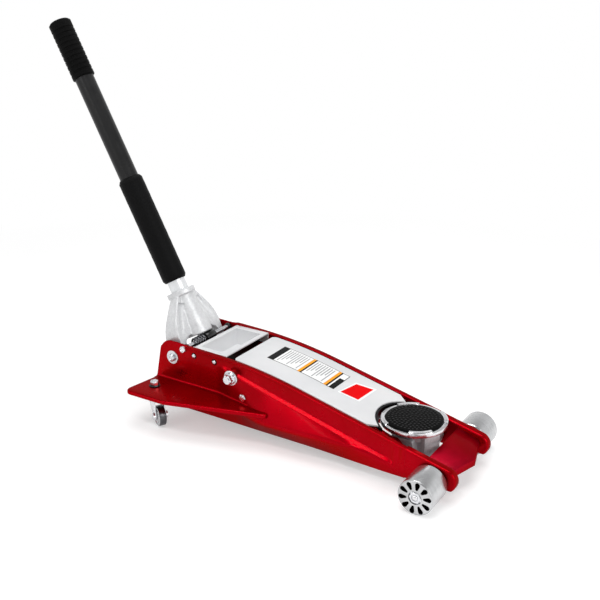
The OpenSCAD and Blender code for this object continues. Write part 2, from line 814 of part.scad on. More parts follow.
pad_floor = saddle_z - pad_t;
lug_turn = 37;
lug_gap = 24;
lug_h = 4;

module saddle() placed() color("silver")
    translate([saddle_x, 0, 0]) difference() {
        rotate_extrude($fn = 72) polygon([
            [stub_r + run, seat_z + gap],
            [40, seat_z + gap],
            [saddle_r - 4, seat_z + 5],
            [saddle_r, seat_z + 7],
            [saddle_r, saddle_z - 2],
            [saddle_r - 1.4, saddle_z - 0.6],
            [pad_r + 1.4, saddle_z - 0.6],
            [pad_r + 0.4, saddle_z - 1.6],
            [pad_r + 0.4, pad_floor],
            [0, pad_floor],
            [0, seat_z + 7],
            [stub_r + run, seat_z + 7]
        ]);
        for (a = [0:90:270]) rotate(lug_turn + 45 + a) translate([0, 0, saddle_z - lug_h]) linear_extrude(10)
            polygon([
                [30, -30 * tan(lug_gap)], [80, -80 * tan(lug_gap)], [80, 80 * tan(lug_gap)], [30, 30 * tan(lug_gap)]
            ]);
    }

module saddle_pad() placed() color("black")
    translate([saddle_x, 0, pad_floor]) rotate_extrude($fn = 72)
        polygon([[0, 0], [pad_r, 0], [pad_r, pad_t - 1.2], [pad_r - 1.2, pad_t], [0, pad_t]]);

// ---------------------------------------------------------------- handle

tube_h0 = 31;
boss_h0 = 18;
collar_h = 107;
foam_h0 = 127.5;
joint_h = foam_h0 + foam_l + 14.5;
upper_r = tube_r + 0.75;
arm_slope = 25.5;
pump_u = -pump_pin_at * sin(pump_swing + lean);
pump_h = -pump_pin_at * cos(pump_swing + lean);
grip_r = 21;
grip_l = 110;

module on_yoke() translate([yoke_x, 0, yoke_z]) rotate([0, -lean, 0]) children();
module on_handle() on_yoke() translate([tip_u, 0, 0]) children();

module handle_yoke() placed() color("gainsboro")
    difference() {
        on_yoke() {
            intersection() {
                both_sides() rotate([90, 0, 90]) translate([0, 0, -60]) linear_extrude(140) polygon([
                    [-20, collar_h - 8], [-25, collar_h - 10], [-32, 89], [-40, 77], [-50, 62], [-57, 47],
                    [-ear_out, 32], [-ear_out, -30], [-ear_in, -30], [-ear_in, 8], [-44, 17], [-35, 22], [-20, 24]
                ]);
                rotate([90, 0, 0]) translate([0, 0, -70]) linear_extrude(140) {
                    polygon(round_outline([[2, 0, 21], [tip_u + 1.6, collar_h - 12, 10.5]], 12));
                    polygon(round_outline([[0, 0, 16], [pump_u, pump_h, pump_pin_r + 5]]));
                }
                difference() {
                    translate([-60, -80, -60]) cube([140, 160, 220]);
                    both_sides() rotate([90, 0, 90]) translate([0, 0, -50]) linear_extrude(66) polygon([
                        [-20, 84], [-25, 84], [-33, 72], [-44, 54], [-50, 41], [-50, 34], [-44, 32], [-20, 32]
                    ]);
                }
            }
            translate([tip_u, 0, boss_h0]) cylinder(h = collar_h - 9 - boss_h0, r1 = 26.5, r2 = 22);
            translate([tip_u, 0, collar_h - 10]) cylinder(h = 10, r = 27);
            both_sides() rotate([90, 0, 0]) translate([0, 0, ear_out - 1])
                cylinder(h = plate_in - ear_out + 1 - gap, r = 15);
        }
        on_handle() {
            translate([0, 0, tube_h0 - 1]) cylinder(h = 100, r = tube_r + run);
            cylinder(h = 60, r = 7.6);
        }
        both_sides() on_yoke() translate([31.5, -49, 30]) rotate([-arm_slope, 0, 0]) cylinder(h = 60, r = 7);
        y_rod(yoke_x, yoke_z, -100, 100, yoke_pin_r + run);
        y_rod(push_x, yoke_z - pump_pin_at * cos(pump_swing), -100, 100, pump_pin_r + run);
    }

module pump_pin() placed() color("silver")
    y_rod(push_x, yoke_z - pump_pin_at * cos(pump_swing), -ear_out, ear_out, pump_pin_r);

module handle_tube_lower() placed() color("gainsboro")
    on_handle() difference() {
        translate([0, 0, tube_h0]) cylinder(h = joint_h + 24 - tube_h0, r = tube_r);
        translate([0, 0, tube_h0 - 1]) cylinder(h = joint_h + 26 - tube_h0, r = tube_r - tube_t);
        translate([0, 0, joint_h]) rotate([-90, 0, 0]) cylinder(h = 40, r = 4 + run);
    }

module handle_tube_upper() placed() color("black")
    on_handle() difference() {
        translate([0, 0, foam_h0 + 4]) cylinder(h = handle_l - 6 - foam_h0 - 4, r = upper_r);
        translate([0, 0, foam_h0]) cylinder(h = handle_l, r = tube_r + run);
        translate([0, 0, joint_h]) rotate([-90, 0, 0]) cylinder(h = 40, r = 4 + run);
    }

module foam_sleeve() placed() color("black")
    on_handle() translate([0, 0, foam_h0]) difference() {
        rotate_extrude() polygon([
            [0, 0], [foam_r - 2, 0], [foam_r, 2], [foam_r, foam_l - 2], [foam_r - 2, foam_l], [0, foam_l]
        ]);
        translate([0, 0, -1]) cylinder(h = foam_l + 2, r = upper_r + run);
    }

module handle_grip() placed() color("black")
    on_handle() translate([0, 0, handle_l - grip_l]) difference() {
        rotate_extrude() polygon(concat(
            [[0, 0], [grip_r - 1, 0], [grip_r, 1]],
            [for (i = [1:10]) each [
                [grip_r, i * 9], [grip_r - 1, i * 9 + 1], [grip_r - 1, i * 9 + 3], [grip_r, i * 9 + 4]
            ]],
            [[grip_r, grip_l - 3], [grip_r - 3, grip_l], [0, grip_l]]
        ));
        translate([0, 0, -1]) cylinder(h = grip_l - 4, r = upper_r + run);
    }

module lock_button() placed() color("silver")
    on_handle() translate([0, 0, joint_h]) rotate([-90, 0, 0]) {
        translate([0, 0, tube_r - tube_t - 4]) cylinder(h = 8, r = 4);
        translate([0, 0, tube_r - tube_t - 4]) cylinder(h = 2, r = 6);
    }

// A bent leaf inside the tube, from the far wall to the back of the button
module button_spring() placed() color("silver") {
    a = tube_r - tube_t;
    on_handle() translate([-4, 0, joint_h]) rotate([90, 0, 90]) linear_extrude(8) polygon([
        [-a + 1.2, 8], [-a + 2.2, 8], [-a + 2.4, -28], [-a + 4.5, -30.5], [a - 5.4, -6], [a - 5.4, 8],
        [a - 4.3, 8], [a - 4.3, -6.4], [-a + 4.8, -32.4], [-a + 2.6, -32], [-a + 1.2, -29]
    ]);
}

module release_drive() placed() color("silver")
    on_handle() difference() {
        union() {
            translate([0, 0, knuckle_h + 2]) cylinder(h = tube_h0 - knuckle_h, r = 7);
            translate([0, 0, tube_h0 + 1]) cylinder(h = 14, r = tube_r - tube_t);
        }
        translate([0, 0, knuckle_h]) sphere(r = 4.6);
    }

// ---------------------------------------------------------------- wheels

module front_axle() placed() color("silver") {
    y_rod(0, roller_r, -roller_out - 1, roller_out + 1, axle_r);
}

module axle_spacers() placed() color("silver")
    both_sides() {
        difference() {
            y_rod(0, roller_r, -roller_in + gap, -nose_out, axle_r + 6);
            y_rod(0, roller_r, -200, 0, axle_r + run);
        }
        difference() {
            y_rod(0, roller_r, -roller_out + 4, -roller_out + 6 - gap, axle_r + 2.5);
            y_rod(0, roller_r, -200, 0, axle_r + run);
        }
    }

module axle_nuts() placed() color("silver")
    both_sides() difference() {
        union() {
            y_rod(0, roller_r, -roller_out - 1, -roller_out + 4, axle_r + 2.4, 6);
            y_rod(0, roller_r, -roller_out - 2, -roller_out - 1, axle_r + 1);
        }
        y_rod(0, roller_r, -roller_out - 1, -roller_out + 5, axle_r + run);
    }

module roller() {
    slot_r = 4.2;
    translate([0, 0, roller_r]) rotate([90, 0, 0]) difference() {
        rotate_extrude($fn = 72) polygon([
            [axle_r + run, roller_in],
            [roller_r - 2, roller_in],
            [roller_r, roller_in + 2],
            [roller_r, roller_out - 2],
            [roller_r - 2, roller_out],
            [axle_r + 3, roller_out],
            [axle_r + 3, roller_out - 6],
            [axle_r + run, roller_out - 6]
        ]);
        for (i = [0:roller_holes - 1]) rotate(360 * (i + 0.25) / roller_holes)
            translate([0, 0, roller_out - 40]) linear_extrude(50)
                polygon(round_outline([[16, 0, slot_r - 2], [roller_r - 6.3, 0, slot_r]], 6));
    }
}

module front_roller_near() placed() color("silver") roller();
module front_roller_far() placed() color("silver") mirror([0, 1, 0]) roller();

fork_top = wing_z - sheet_t - 1.5;
fork_t = 2.5;
fork_gap = 1;
caster_axle_r = 4;

module on_caster() translate([caster_x, -caster_y, 0]) rotate(-caster_turn) children();

module caster_stud() translate([caster_x, -caster_y, 0]) {
    translate([0, 0, fork_top - fork_t - 1]) cylinder(h = wing_z + 9 - fork_top + fork_t + 1, r = stud_r);
    translate([0, 0, fork_top - fork_t - 5]) cylinder(h = 4.7, r = stud_r + 2.5);
}
module caster_studs() placed() color("silver") both_sides() caster_stud();

module caster_washers() placed() color("dimgray")
    both_sides() translate([caster_x, -caster_y, 0]) difference() {
        union() {
            translate([0, 0, wing_z]) cylinder(h = 1.5, r = 10);
            translate([0, 0, fork_top + gap]) cylinder(h = wing_z - sheet_t - fork_top - gap, r = 12);
        }
        cylinder(h = 100, r = stud_r + run);
    }

module caster_nuts() placed() color("silver")
    both_sides() translate([caster_x, -caster_y, wing_z + 1.5]) difference() {
        cylinder(h = 8, r = 8, $fn = 6);
        translate([0, 0, -1]) cylinder(h = 10, r = stud_r + run);
    }

module fork_side()
    polygon(round_outline([
        [caster_trail, caster_r, 7], [16, fork_top - 2, 2], [-12, fork_top - 2, 2], [-10, fork_top - 12, 3]
    ]));

module caster_fork() on_caster() {
    inner = caster_w / 2 + fork_gap;
    difference() {
        union() {
            intersection() {
                translate([0, 0, fork_top - fork_t]) cylinder(h = fork_t, r = 17);
                translate([-14, -20, 0]) cube([40, 40, 100]);
            }
            both_sides() xz_slab(-inner - fork_t, -inner) fork_side();
        }
        translate([0, 0, fork_top - 20]) cylinder(h = 40, r = stud_r + run);
        y_rod(caster_trail, caster_r, -50, 50, caster_axle_r + run);
    }
}

module caster_fork_near() placed() color("silver") caster_fork();
module caster_fork_far() placed() color("silver") mirror([0, 1, 0]) caster_fork();

module caster_axle() on_caster() {
    inner = caster_w / 2 + fork_gap + fork_t;
    y_rod(caster_trail, caster_r, -inner, inner, caster_axle_r);
    y_rod(caster_trail, caster_r, -inner - 3, -inner, 7);
    y_rod(caster_trail, caster_r, inner, inner + 3, 7);
}

module caster_axle_near() placed() color("silver") caster_axle();
module caster_axle_far() placed() color("silver") mirror([0, 1, 0]) caster_axle();

module caster_wheel() on_caster()
    translate([caster_trail, 0, caster_r]) rotate([90, 0, 0]) translate([0, 0, -caster_w / 2])
        difference() {
            rotate_extrude() polygon([
                [caster_axle_r + run, 0], [caster_r - 7, 0], [caster_r - 7, 2], [caster_r - 3.5, 2], [caster_r - 3, 0],
                [caster_r - 1, 0], [caster_r, 1], [caster_r, caster_w - 1], [caster_r - 1, caster_w],
                [caster_r - 3, caster_w], [caster_r - 3.5, caster_w - 2], [caster_r - 7, caster_w - 2],
                [caster_r - 7, caster_w], [caster_axle_r + run, caster_w]
            ]);
        }

module caster_wheel_near() placed() color("silver") caster_wheel();
module caster_wheel_far() placed() color("silver") mirror([0, 1, 0]) caster_wheel();

// ---------------------------------------------------------------- placing and parts

front_x = 42.4;
rear_most = yoke_x + tip_u * cos(lean) - (handle_l - 3) * sin(lean) - grip_r * cos(lean);
module placed() translate([-(front_x + rear_most) / 2, 0, 0]) children();

side_plate_near();
side_plate_far();
front_hood();
base_plate();
tool_tray();
tray_screws();
yoke_pivot_bolts();
pivot_washers();
stop_rod();
stop_sleeves();
handle_spring();
lift_pivot_shaft();
lift_pivot_nuts();
link_pivots();
power_unit();
ram_gland();
pump_glands();
filler_plug();
unit_bolts();
front_axle();
axle_spacers();
axle_nuts();
caster_studs();
caster_washers();
caster_nuts();
lift_arm();
arm_bush();
thrust_pin();
arm_cover();
parallel_link_near();
parallel_link_far();
head_pin();
toe_pin();
saddle_head();
saddle();
saddle_pad();
ram();
return_spring_near();
return_spring_far();
pump_plunger_near();
pump_plunger_far();
plunger_springs();
release_valve();
handle_yoke();
pump_pin();
handle_tube_lower();
handle_tube_upper();
foam_sleeve();
handle_grip();
lock_button();
button_spring();
release_drive();
front_roller_near();
front_roller_far();
caster_fork_near();
caster_fork_far();
caster_axle_near();
caster_axle_far();
caster_wheel_near();
caster_wheel_far();
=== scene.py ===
"""Looks of the trolley jack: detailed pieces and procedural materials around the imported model.

Shapes are worked out in millimetres from the front axle (X = 0 there, +X to the lifting end) and
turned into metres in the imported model's frame by place().
"""
import json
import math

import bmesh
import bpy
import numpy as np
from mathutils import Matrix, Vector

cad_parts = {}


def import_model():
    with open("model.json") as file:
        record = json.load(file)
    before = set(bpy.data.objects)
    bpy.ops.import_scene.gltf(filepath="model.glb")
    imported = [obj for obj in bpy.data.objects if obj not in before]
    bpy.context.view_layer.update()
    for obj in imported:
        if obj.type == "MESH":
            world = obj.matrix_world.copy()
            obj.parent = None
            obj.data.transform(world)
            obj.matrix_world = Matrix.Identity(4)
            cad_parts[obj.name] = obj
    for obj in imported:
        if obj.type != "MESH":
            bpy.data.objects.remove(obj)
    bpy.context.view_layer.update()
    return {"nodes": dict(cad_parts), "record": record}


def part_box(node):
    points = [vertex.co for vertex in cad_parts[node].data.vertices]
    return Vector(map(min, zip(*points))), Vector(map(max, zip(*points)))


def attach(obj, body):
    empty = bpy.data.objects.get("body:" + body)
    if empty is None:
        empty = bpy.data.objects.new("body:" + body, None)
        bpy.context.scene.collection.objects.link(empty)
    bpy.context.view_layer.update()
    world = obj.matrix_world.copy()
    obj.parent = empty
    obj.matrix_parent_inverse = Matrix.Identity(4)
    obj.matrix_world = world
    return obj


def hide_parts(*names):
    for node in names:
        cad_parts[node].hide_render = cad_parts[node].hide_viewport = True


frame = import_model()
scene = bpy.context.scene

# ---------------------------------------------------------------- placing

MM = 0.001
axle_lo, axle_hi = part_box("front_axle")
AXLE_X = (axle_lo.x + axle_hi.x) / 2


def place(p):
    """A point in millimetres from the front axle as a place in the model's frame."""
    return Vector((AXLE_X + p[0] * MM, p[1] * MM, p[2] * MM))


# ---------------------------------------------------------------- materials

def new_material(name):
    """An empty material with one principled shader wired to its output."""
    mat = bpy.data.materials.new(name)
    mat.use_nodes = True
    nt = mat.node_tree
    nt.nodes.clear()
    out = nt.nodes.new("ShaderNodeOutputMaterial")
    bsdf = nt.nodes.new("ShaderNodeBsdfPrincipled")
    nt.links.new(bsdf.outputs["BSDF"], out.inputs["Surface"])
    return mat, nt, bsdf


def coordinates(nt, scale=(1, 1, 1)):
    """The piece's own coordinates, so that a texture stays on it in every pose."""
    tex = nt.nodes.new("ShaderNodeTexCoord")
    mapping = nt.nodes.new("ShaderNodeMapping")
    mapping.inputs["Scale"].default_value = scale
    nt.links.new(tex.outputs["Object"], mapping.inputs["Vector"])
    return mapping.outputs["Vector"]


def noise(nt, vector, scale, detail=4, roughness=0.55):
    """Cloudy grey values round 0.5."""
    n = nt.nodes.new("ShaderNodeTexNoise")
    n.inputs["Scale"].default_value = scale
    n.inputs["Detail"].default_value = detail
    n.inputs["Roughness"].default_value = roughness
    nt.links.new(vector, n.inputs["Vector"])
    return n.outputs["Fac"]


def ramp(nt, fac, stops):
    """A colour that runs between two stops of (place, colour)."""
    r = nt.nodes.new("ShaderNodeValToRGB")
    for element, (at, colour) in zip(r.color_ramp.elements, stops):
        element.position = at
        element.color = (*colour, 1)
    nt.links.new(fac, r.inputs["Fac"])
    return r.outputs["Color"]


def spread(nt, fac, low, high):
    """The middle range of a noise, 0.3 to 0.7, stretched to run from low to high."""
    m = nt.nodes.new("ShaderNodeMapRange")
    m.inputs["From Min"].default_value = 0.3
    m.inputs["From Max"].default_value = 0.7
    m.inputs["To Min"].default_value = low
    m.inputs["To Max"].default_value = high
    nt.links.new(fac, m.inputs["Value"])
    return m.outputs["Result"]


def bump(nt, bsdf, height, strength, distance):
    """A fine relief on the shader's surface; the distance is in metres."""
    b = nt.nodes.new("ShaderNodeBump")
    b.inputs["Strength"].default_value = strength
    b.inputs["Distance"].default_value = distance
    nt.links.new(height, b.inputs["Height"])
    nt.links.new(b.outputs["Normal"], bsdf.inputs["Normal"])


def srgb(r, g, b):
    """A screen colour of 0 to 255 as linear light."""
    def lin(c):
        c /= 255
        return c / 12.92 if c <= 0.04045 else ((c + 0.055) / 1.055) ** 2.4
    return lin(r), lin(g), lin(b)


def paint(name, dark, light, metallic, rough, coat, edge=(1, 1, 1), level=0.5):
    """Sprayed paint: slow colour drift, uneven gloss, a fine orange peel and a clear coat."""
    mat, nt, bsdf = new_material(name)
    v = coordinates(nt)
    nt.links.new(ramp(nt, noise(nt, v, 9, 3), [(0.3, dark), (0.7, light)]), bsdf.inputs["Base Color"])
    nt.links.new(spread(nt, noise(nt, v, 60, 5), rough * 0.85, rough * 1.15), bsdf.inputs["Roughness"])
    bsdf.inputs["Metallic"].default_value = metallic
    bsdf.inputs["Specular Tint"].default_value = (*edge, 1)
    bsdf.inputs["Specular IOR Level"].default_value = level
    bsdf.inputs["Coat Weight"].default_value = coat
    bsdf.inputs["Coat Roughness"].default_value = 0.08
    bump(nt, bsdf, noise(nt, v, 420, 2), 0.04, 0.0003)
    return mat


def metal(name, dark, light, rough, stretch=(1, 1, 1), grain=900, depth=0.08, metallic=1.0):
    """Bare or plated metal: a grain drawn out along one way, soft stains and uneven gloss."""
    mat, nt, bsdf = new_material(name)
    v = coordinates(nt, stretch)
    even = coordinates(nt)
    streaks = noise(nt, v, grain, 3, 0.6)
    stains = noise(nt, even, 22, 5, 0.6)
    both = nt.nodes.new("ShaderNodeMath")
    both.operation = "MULTIPLY_ADD"
    both.inputs[1].default_value = 0.45
    nt.links.new(streaks, both.inputs[0])
    half = nt.nodes.new("ShaderNodeMath")
    half.operation = "MULTIPLY"
    half.inputs[1].default_value = 0.55
    nt.links.new(stains, half.inputs[0])
    nt.links.new(half.outputs[0], both.inputs[2])
    nt.links.new(ramp(nt, both.outputs[0], [(0.32, dark), (0.66, light)]), bsdf.inputs["Base Color"])
    nt.links.new(spread(nt, both.outputs[0], rough * 1.25, rough * 0.8), bsdf.inputs["Roughness"])
    bsdf.inputs["Metallic"].default_value = metallic
    bump(nt, bsdf, streaks, depth, 0.0002)
    return mat


def soft_black(name, dark, light, rough, scale, depth, distance=0.0006, level=0.3):
    """Rubber, foam or moulded black: a pitted or pebbled skin."""
    mat, nt, bsdf = new_material(name)
    v = coordinates(nt)
    cells = nt.nodes.new("ShaderNodeTexVoronoi")
    cells.inputs["Scale"].default_value = scale
    nt.links.new(v, cells.inputs["Vector"])
    cloud = noise(nt, v, scale * 0.4, 6, 0.65)
    height = nt.nodes.new("ShaderNodeMath")
    height.operation = "MULTIPLY"
    nt.links.new(cells.outputs["Distance"], height.inputs[0])
    nt.links.new(cloud, height.inputs[1])
    nt.links.new(ramp(nt, cloud, [(0.3, dark), (0.72, light)]), bsdf.inputs["Base Color"])
    nt.links.new(spread(nt, cloud, rough * 0.9, min(1, rough * 1.1)), bsdf.inputs["Roughness"])
    bsdf.inputs["Specular IOR Level"].default_value = level
    bump(nt, bsdf, height.outputs[0], depth, distance)
    return mat


RED = paint(
    "red_paint", srgb(146, 0, 8), srgb(168, 0, 18), 0.85, 0.3, 0.04,
    edge=(0.4, 0.0, 0.04), level=0.06)
HOOD_RED = paint(
    "hood_red", srgb(148, 10, 32), srgb(168, 16, 40), 1.0, 0.42, 0.04, edge=(0.4, 0.02, 0.06))
WHITE = paint("white_paint", srgb(208, 209, 211), srgb(222, 222, 223), 0.0, 0.4, 0.06, level=0.25)
CAST = metal("cast_aluminium", srgb(196, 197, 199), srgb(230, 231, 232), 0.4, grain=260, metallic=0.4)
TURNED = metal(
    "turned_aluminium", srgb(168, 169, 171), srgb(206, 207, 208), 0.24,
    stretch=(1, 60, 1), grain=30, depth=0.06, metallic=0.95)
POLISHED = metal("polished_steel", srgb(190, 190, 193), srgb(232, 232, 234), 0.2, grain=500, depth=0.04)
FORGED = metal("forged_steel", srgb(150, 148, 151), srgb(190, 188, 191), 0.4, grain=300, metallic=0.6)
WIRE = metal("spring_wire", srgb(52, 52, 54), srgb(104, 104, 108), 0.2, grain=300, depth=0.05)
ZINC = metal("zinc_plate", srgb(186, 188, 192), srgb(236, 237, 240), 0.24, grain=600, depth=0.06)
# Painted shade: a darker copy of the wheel steel, for the caster's tread.
TREAD_SHADE = metal("tread_painted_shade", srgb(50, 50, 52), srgb(96, 96, 99), 0.32, grain=400, depth=0.1)
# Black steel for black parts, and also painted shade on the saddle well's wall and the tool tray's outside.
BLACK_STEEL_AND_SHADE = metal("black_steel", srgb(14, 14, 15), srgb(44, 44, 46), 0.36, grain=400, depth=0.12)
BRONZE = metal("bronze", srgb(150, 104, 52), srgb(206, 160, 96), 0.32, grain=500)
SILVER_TUBE = metal(
    "tube_silver", srgb(206, 208, 211), srgb(240, 241, 242), 0.3,
    stretch=(60, 60, 1), grain=30, depth=0.05, metallic=0.6)
WHEEL_STEEL = metal("wheel_steel", srgb(150, 150, 152), srgb(206, 206, 208), 0.28, grain=500)
BLACK_TUBE = paint("tube_black", srgb(9, 9, 10), srgb(17, 17, 18), 0.0, 0.35, 0.05, level=0.25)
RUBBER = soft_black("pad_rubber", srgb(2, 2, 2), srgb(8, 8, 8), 0.5, 900, 0.3, level=0.05)
# Painted light: a lighter copy of the pad rubber, for the tops of its studs.
LIT_STUD_TOPS = soft_black("pad_studs", srgb(10, 10, 11), srgb(40, 40, 41), 0.5, 900, 0.3, level=0.15)
SLEEVE = soft_black("sleeve_black", srgb(5, 5, 6), srgb(16, 16, 17), 0.16, 500, 0.06, level=0.5)
FOAM = soft_black("foam", srgb(8, 8, 8), srgb(18, 18, 19), 0.5, 1500, 0.4, distance=0.0004, level=0.06)
# Painted shade: near-black for the rings round the tray screws and inside the roller's slots.
RECESS_SHADE = metal("painted_recess_shade", srgb(8, 6, 6), srgb(26, 20, 20), 0.5, grain=300)
INK = paint("ink_black", srgb(6, 6, 6), srgb(16, 16, 16), 0.0, 0.5, 0.0, level=0.1)
GREY_INK = paint("ink_grey", srgb(150, 151, 153), srgb(170, 171, 173), 0.0, 0.5, 0.0, level=0.3)
AMBER = paint("ink_amber", srgb(236, 150, 10), srgb(248, 170, 24), 0.0, 0.5, 0.0, level=0.3)
TAG_RED = paint("ink_red", srgb(216, 0, 4), srgb(232, 2, 8), 0.0, 0.5, 0.0, level=0.05)
LABEL = paint("label_white", srgb(236, 236, 236), srgb(244, 244, 244), 0.0, 0.5, 0.0, level=0.3)

MATERIAL = {
    "red_paint": RED, "white_paint": WHITE, "cast_aluminium": CAST, "turned_aluminium": TURNED,
    "polished_steel": POLISHED, "zinc_plate": ZINC, "black_steel": BLACK_STEEL_AND_SHADE, "bronze": BRONZE,
    "tube_silver": SILVER_TUBE, "tube_black": BLACK_TUBE, "wheel_steel": WHEEL_STEEL,
    "pad_rubber": RUBBER, "sleeve_black": SLEEVE, "foam": FOAM,
}
SLOT = {s["node"]: s["material_slot"] for s in frame["record"]["subparts"]}
BODY = {node: body for body, nodes in frame["record"]["behaviour"]["bodies"].items() for node in nodes}


def paint_object(obj, material):
    """Gives the whole object one material."""
    obj.data.materials.clear()
    obj.data.materials.append(material)


# ---------------------------------------------------------------- mesh helpers

def shade(obj, angle):
    """Smooth shading, with edges sharper than the angle kept as edges."""
    for p in obj.data.polygons:
        p.use_smooth = True
    bpy.context.view_layer.objects.active = obj
    obj.select_set(True)
    bpy.ops.object.shade_smooth_by_angle(angle=math.radians(angle), keep_sharp_edges=False)
    obj.select_set(False)


def piece(name, points, faces, replaced=None, body=None, slot=None, material=None, angle=35):
    """A mesh object from points in millimetres, riding on a body and standing for a CAD node."""
    mesh = bpy.data.meshes.new(name)
    mesh.from_pydata([place(p) for p in points], [], faces)
    bm = bmesh.new()
    bm.from_mesh(mesh)
    bmesh.ops.recalc_face_normals(bm, faces=bm.faces)
    bm.to_mesh(mesh)
    bm.free()
    obj = bpy.data.objects.new(name, mesh)
    scene.collection.objects.link(obj)
    return settle(obj, replaced, body, slot, material, angle)


def settle(obj, replaced=None, body=None, slot=None, material=None, angle=35):
    """Paints and shades an object, sets it on the body it rides on and hides the CAD node it stands for.

    Body, slot and material are the CAD node's own where they aren't given.
    """
    body = body or BODY[replaced]
    slot = slot or SLOT[replaced]
    paint_object(obj, material or MATERIAL[slot])
    shade(obj, angle)
    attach(obj, body)
    if replaced:
        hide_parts(replaced)
    return obj


def ring_faces(rows, cols, closed=True):
    """Quads of a grid of rows, each a closed or open run of cols points."""
    last = cols if closed else cols - 1
    return [
        (r * cols + c, r * cols + (c + 1) % cols, (r + 1) * cols + (c + 1) % cols, (r + 1) * cols + c)
        for r in range(rows - 1) for c in range(last)
    ]


def fillet(path, radii, steps=4, share=0.45):
    """Rounds each corner of a closed 2D path by its radius, up to a share of the shorter side."""
    path = [Vector(p) for p in path]
    out = []
    n = len(path)
    for i, (p, r) in enumerate(zip(path, radii)):
        a, b = path[i - 1] - p, path[(i + 1) % n] - p
        la, lb = a.length, b.length
        if la < 1e-6 or lb < 1e-6:
            out += [p] * (steps + 1)
            continue
        a, b = a / la, b / lb
        turn = math.pi - math.acos(max(-1, min(1, a.dot(b))))
        if turn < 1e-3:
            out += [p + (b - a) * (0.05 * min(la, lb) * (k / steps - 0.5)) for k in range(steps + 1)]
            continue
        t = min(r * math.tan(turn / 2), share * la, share * lb)
        r = t / math.tan(turn / 2)
        centre = p + (a + b).normalized() * (r / math.cos(turn / 2))
        s, e = p + a * t - centre, p + b * t - centre
        w = math.sin(turn)
        for k in range(steps + 1):
            f = k / steps
            q = s if w < 1e-9 else (s * math.sin((1 - f) * turn) + e * math.sin(f * turn)) / w
            out.append(centre + q)
    return out


def refined(node, width, segments, material):
    """A CAD node's own shape with its edges eased, in place of the bare node."""
    src = frame["nodes"][node]
    bm = bmesh.new()
    bm.from_mesh(src.data)
    bmesh.ops.remove_doubles(bm, verts=bm.verts, dist=1e-6)
    bmesh.ops.dissolve_limit(bm, angle_limit=math.radians(1), verts=bm.verts, edges=bm.edges)
    mesh = bpy.data.meshes.new(node + "_fine")
    bm.to_mesh(mesh)
    bm.free()
    obj = bpy.data.objects.new(node + "_fine", mesh)
    scene.collection.objects.link(obj)
    mod = obj.modifiers.new("ease", "BEVEL")
    mod.width = width * MM
    mod.segments = segments
    mod.limit_method = "ANGLE"
    mod.angle_limit = math.radians(28)
    mod.use_clamp_overlap = True
    apply_modifiers(obj)
    return settle(obj, node, material=material)


def cast(node, voxel, rounds, keep):
    """A CAD node's shape with every corner rounded off as on a casting, in place of the bare node."""
    obj = bpy.data.objects.new(node + "_cast", frame["nodes"][node].data.copy())
    scene.collection.objects.link(obj)
    grid = obj.modifiers.new("grid", "REMESH")
    grid.mode = "VOXEL"
    grid.voxel_size = voxel * MM
    soft = obj.modifiers.new("soft", "SMOOTH")
    soft.factor = 0.5
    soft.iterations = rounds
    thin = obj.modifiers.new("thin", "DECIMATE")
    thin.ratio = keep
    apply_modifiers(obj)
    settle(obj, node, angle=60)


def apply_modifiers(obj):
    """Makes what the modifiers give the object's own mesh."""
    graph = bpy.context.evaluated_depsgraph_get()
    mesh = bpy.data.meshes.new_from_object(obj.evaluated_get(graph))
    obj.modifiers.clear()
    obj.data = mesh


def turned(profile, origin, axis, segments=48):
    """Points and faces of a closed profile turned about an axis.

    A row is (height, radius), or (height, half the width across flats, 6) for a hexagon, whose
    corners are cut back to 1.13 of that.
    """
    axis = Vector(axis).normalized()
    u = Vector((0, 0, 1)) if abs(axis.z) < 0.9 else Vector((1, 0, 0))
    u = (u - axis * u.dot(axis)).normalized()
    w = axis.cross(u)
    points = []
    for i in range(segments):
        a = 2 * math.pi * (i + 0.5) / segments
        flat = 1 / math.cos((a + math.pi / 6) % (math.pi / 3) - math.pi / 6)
        for row in profile:
            r = row[1] * (min(flat, 1.13) if len(row) > 2 else 1)
            out = (u * math.cos(a) + w * math.sin(a)) * r
            points.append(tuple(Vector(origin) + axis * row[0] + out))
    m = len(profile)
    return points, [
        (i * m + k, i * m + (k + 1) % m, ((i + 1) % segments) * m + (k + 1) % m, ((i + 1) % segments) * m + k)
        for i in range(segments) for k in range(m)
    ]


def joined(parts):
    """Several (points, faces) as one."""
    points, faces = [], []
    for p, f in parts:
        n = len(points)
        points += p
        faces += [tuple(n + i for i in face) for face in f]
    return points, faces


def on_both_sides(profile, x, z, out, segments=48):
    """The same turned profile at (x, z) on the near and far side, its height counted outwards from out."""
    return [turned(profile, (x, -s * out, z), (0, -s, 0), segments) for s in (1, -1)]


def tube(path, radius, sides=12):
    """A round rod of even thickness along a path of points."""
    path = [Vector(p) for p in path]
    rings = []
    up = Vector((0, 0, 1))
    for i, p in enumerate(path):
        t = (path[min(i + 1, len(path) - 1)] - path[max(i - 1, 0)]).normalized()
        u = up - t * up.dot(t)
        u = u.normalized() if u.length > 1e-3 else t.orthogonal().normalized()
        up = u
        w = t.cross(u)
        for k in range(sides):
            a = 2 * math.pi * k / sides
            rings.append(tuple(p + (u * math.cos(a) + w * math.sin(a)) * radius))
    faces = ring_faces(len(path), sides)
    faces += [tuple(range(sides)), tuple((len(path) - 1) * sides + k for k in range(sides))]
    return rings, faces


# ---------------------------------------------------------------- camera, floor and light

# The camera's lens in millimetres, its place from the axle in metres and its turns in degrees.
LENS, CAMERA_X, CAMERA_Y, CAMERA_Z, TILT, TURN = 52.81, 0.4694, -1.1981, 0.7646, 19.9, 32.4
# The floor's half size, its own light and the stretch over which it fades into the backdrop.
FLOOR, FLOOR_LIGHT, FADE_FROM, FADE_TO = 12, 0.42, 0.7, 1.6
FLOOR_DARK, FLOOR_PALE = (0.68, 0.68, 0.68), (0.7, 0.7, 0.7)
# The light of the surroundings, and how dark the sky gets overhead between two heights in degrees.
AMBIENT, DOME, DOME_FROM, DOME_TO = 0.28, 0.3, 18, 55


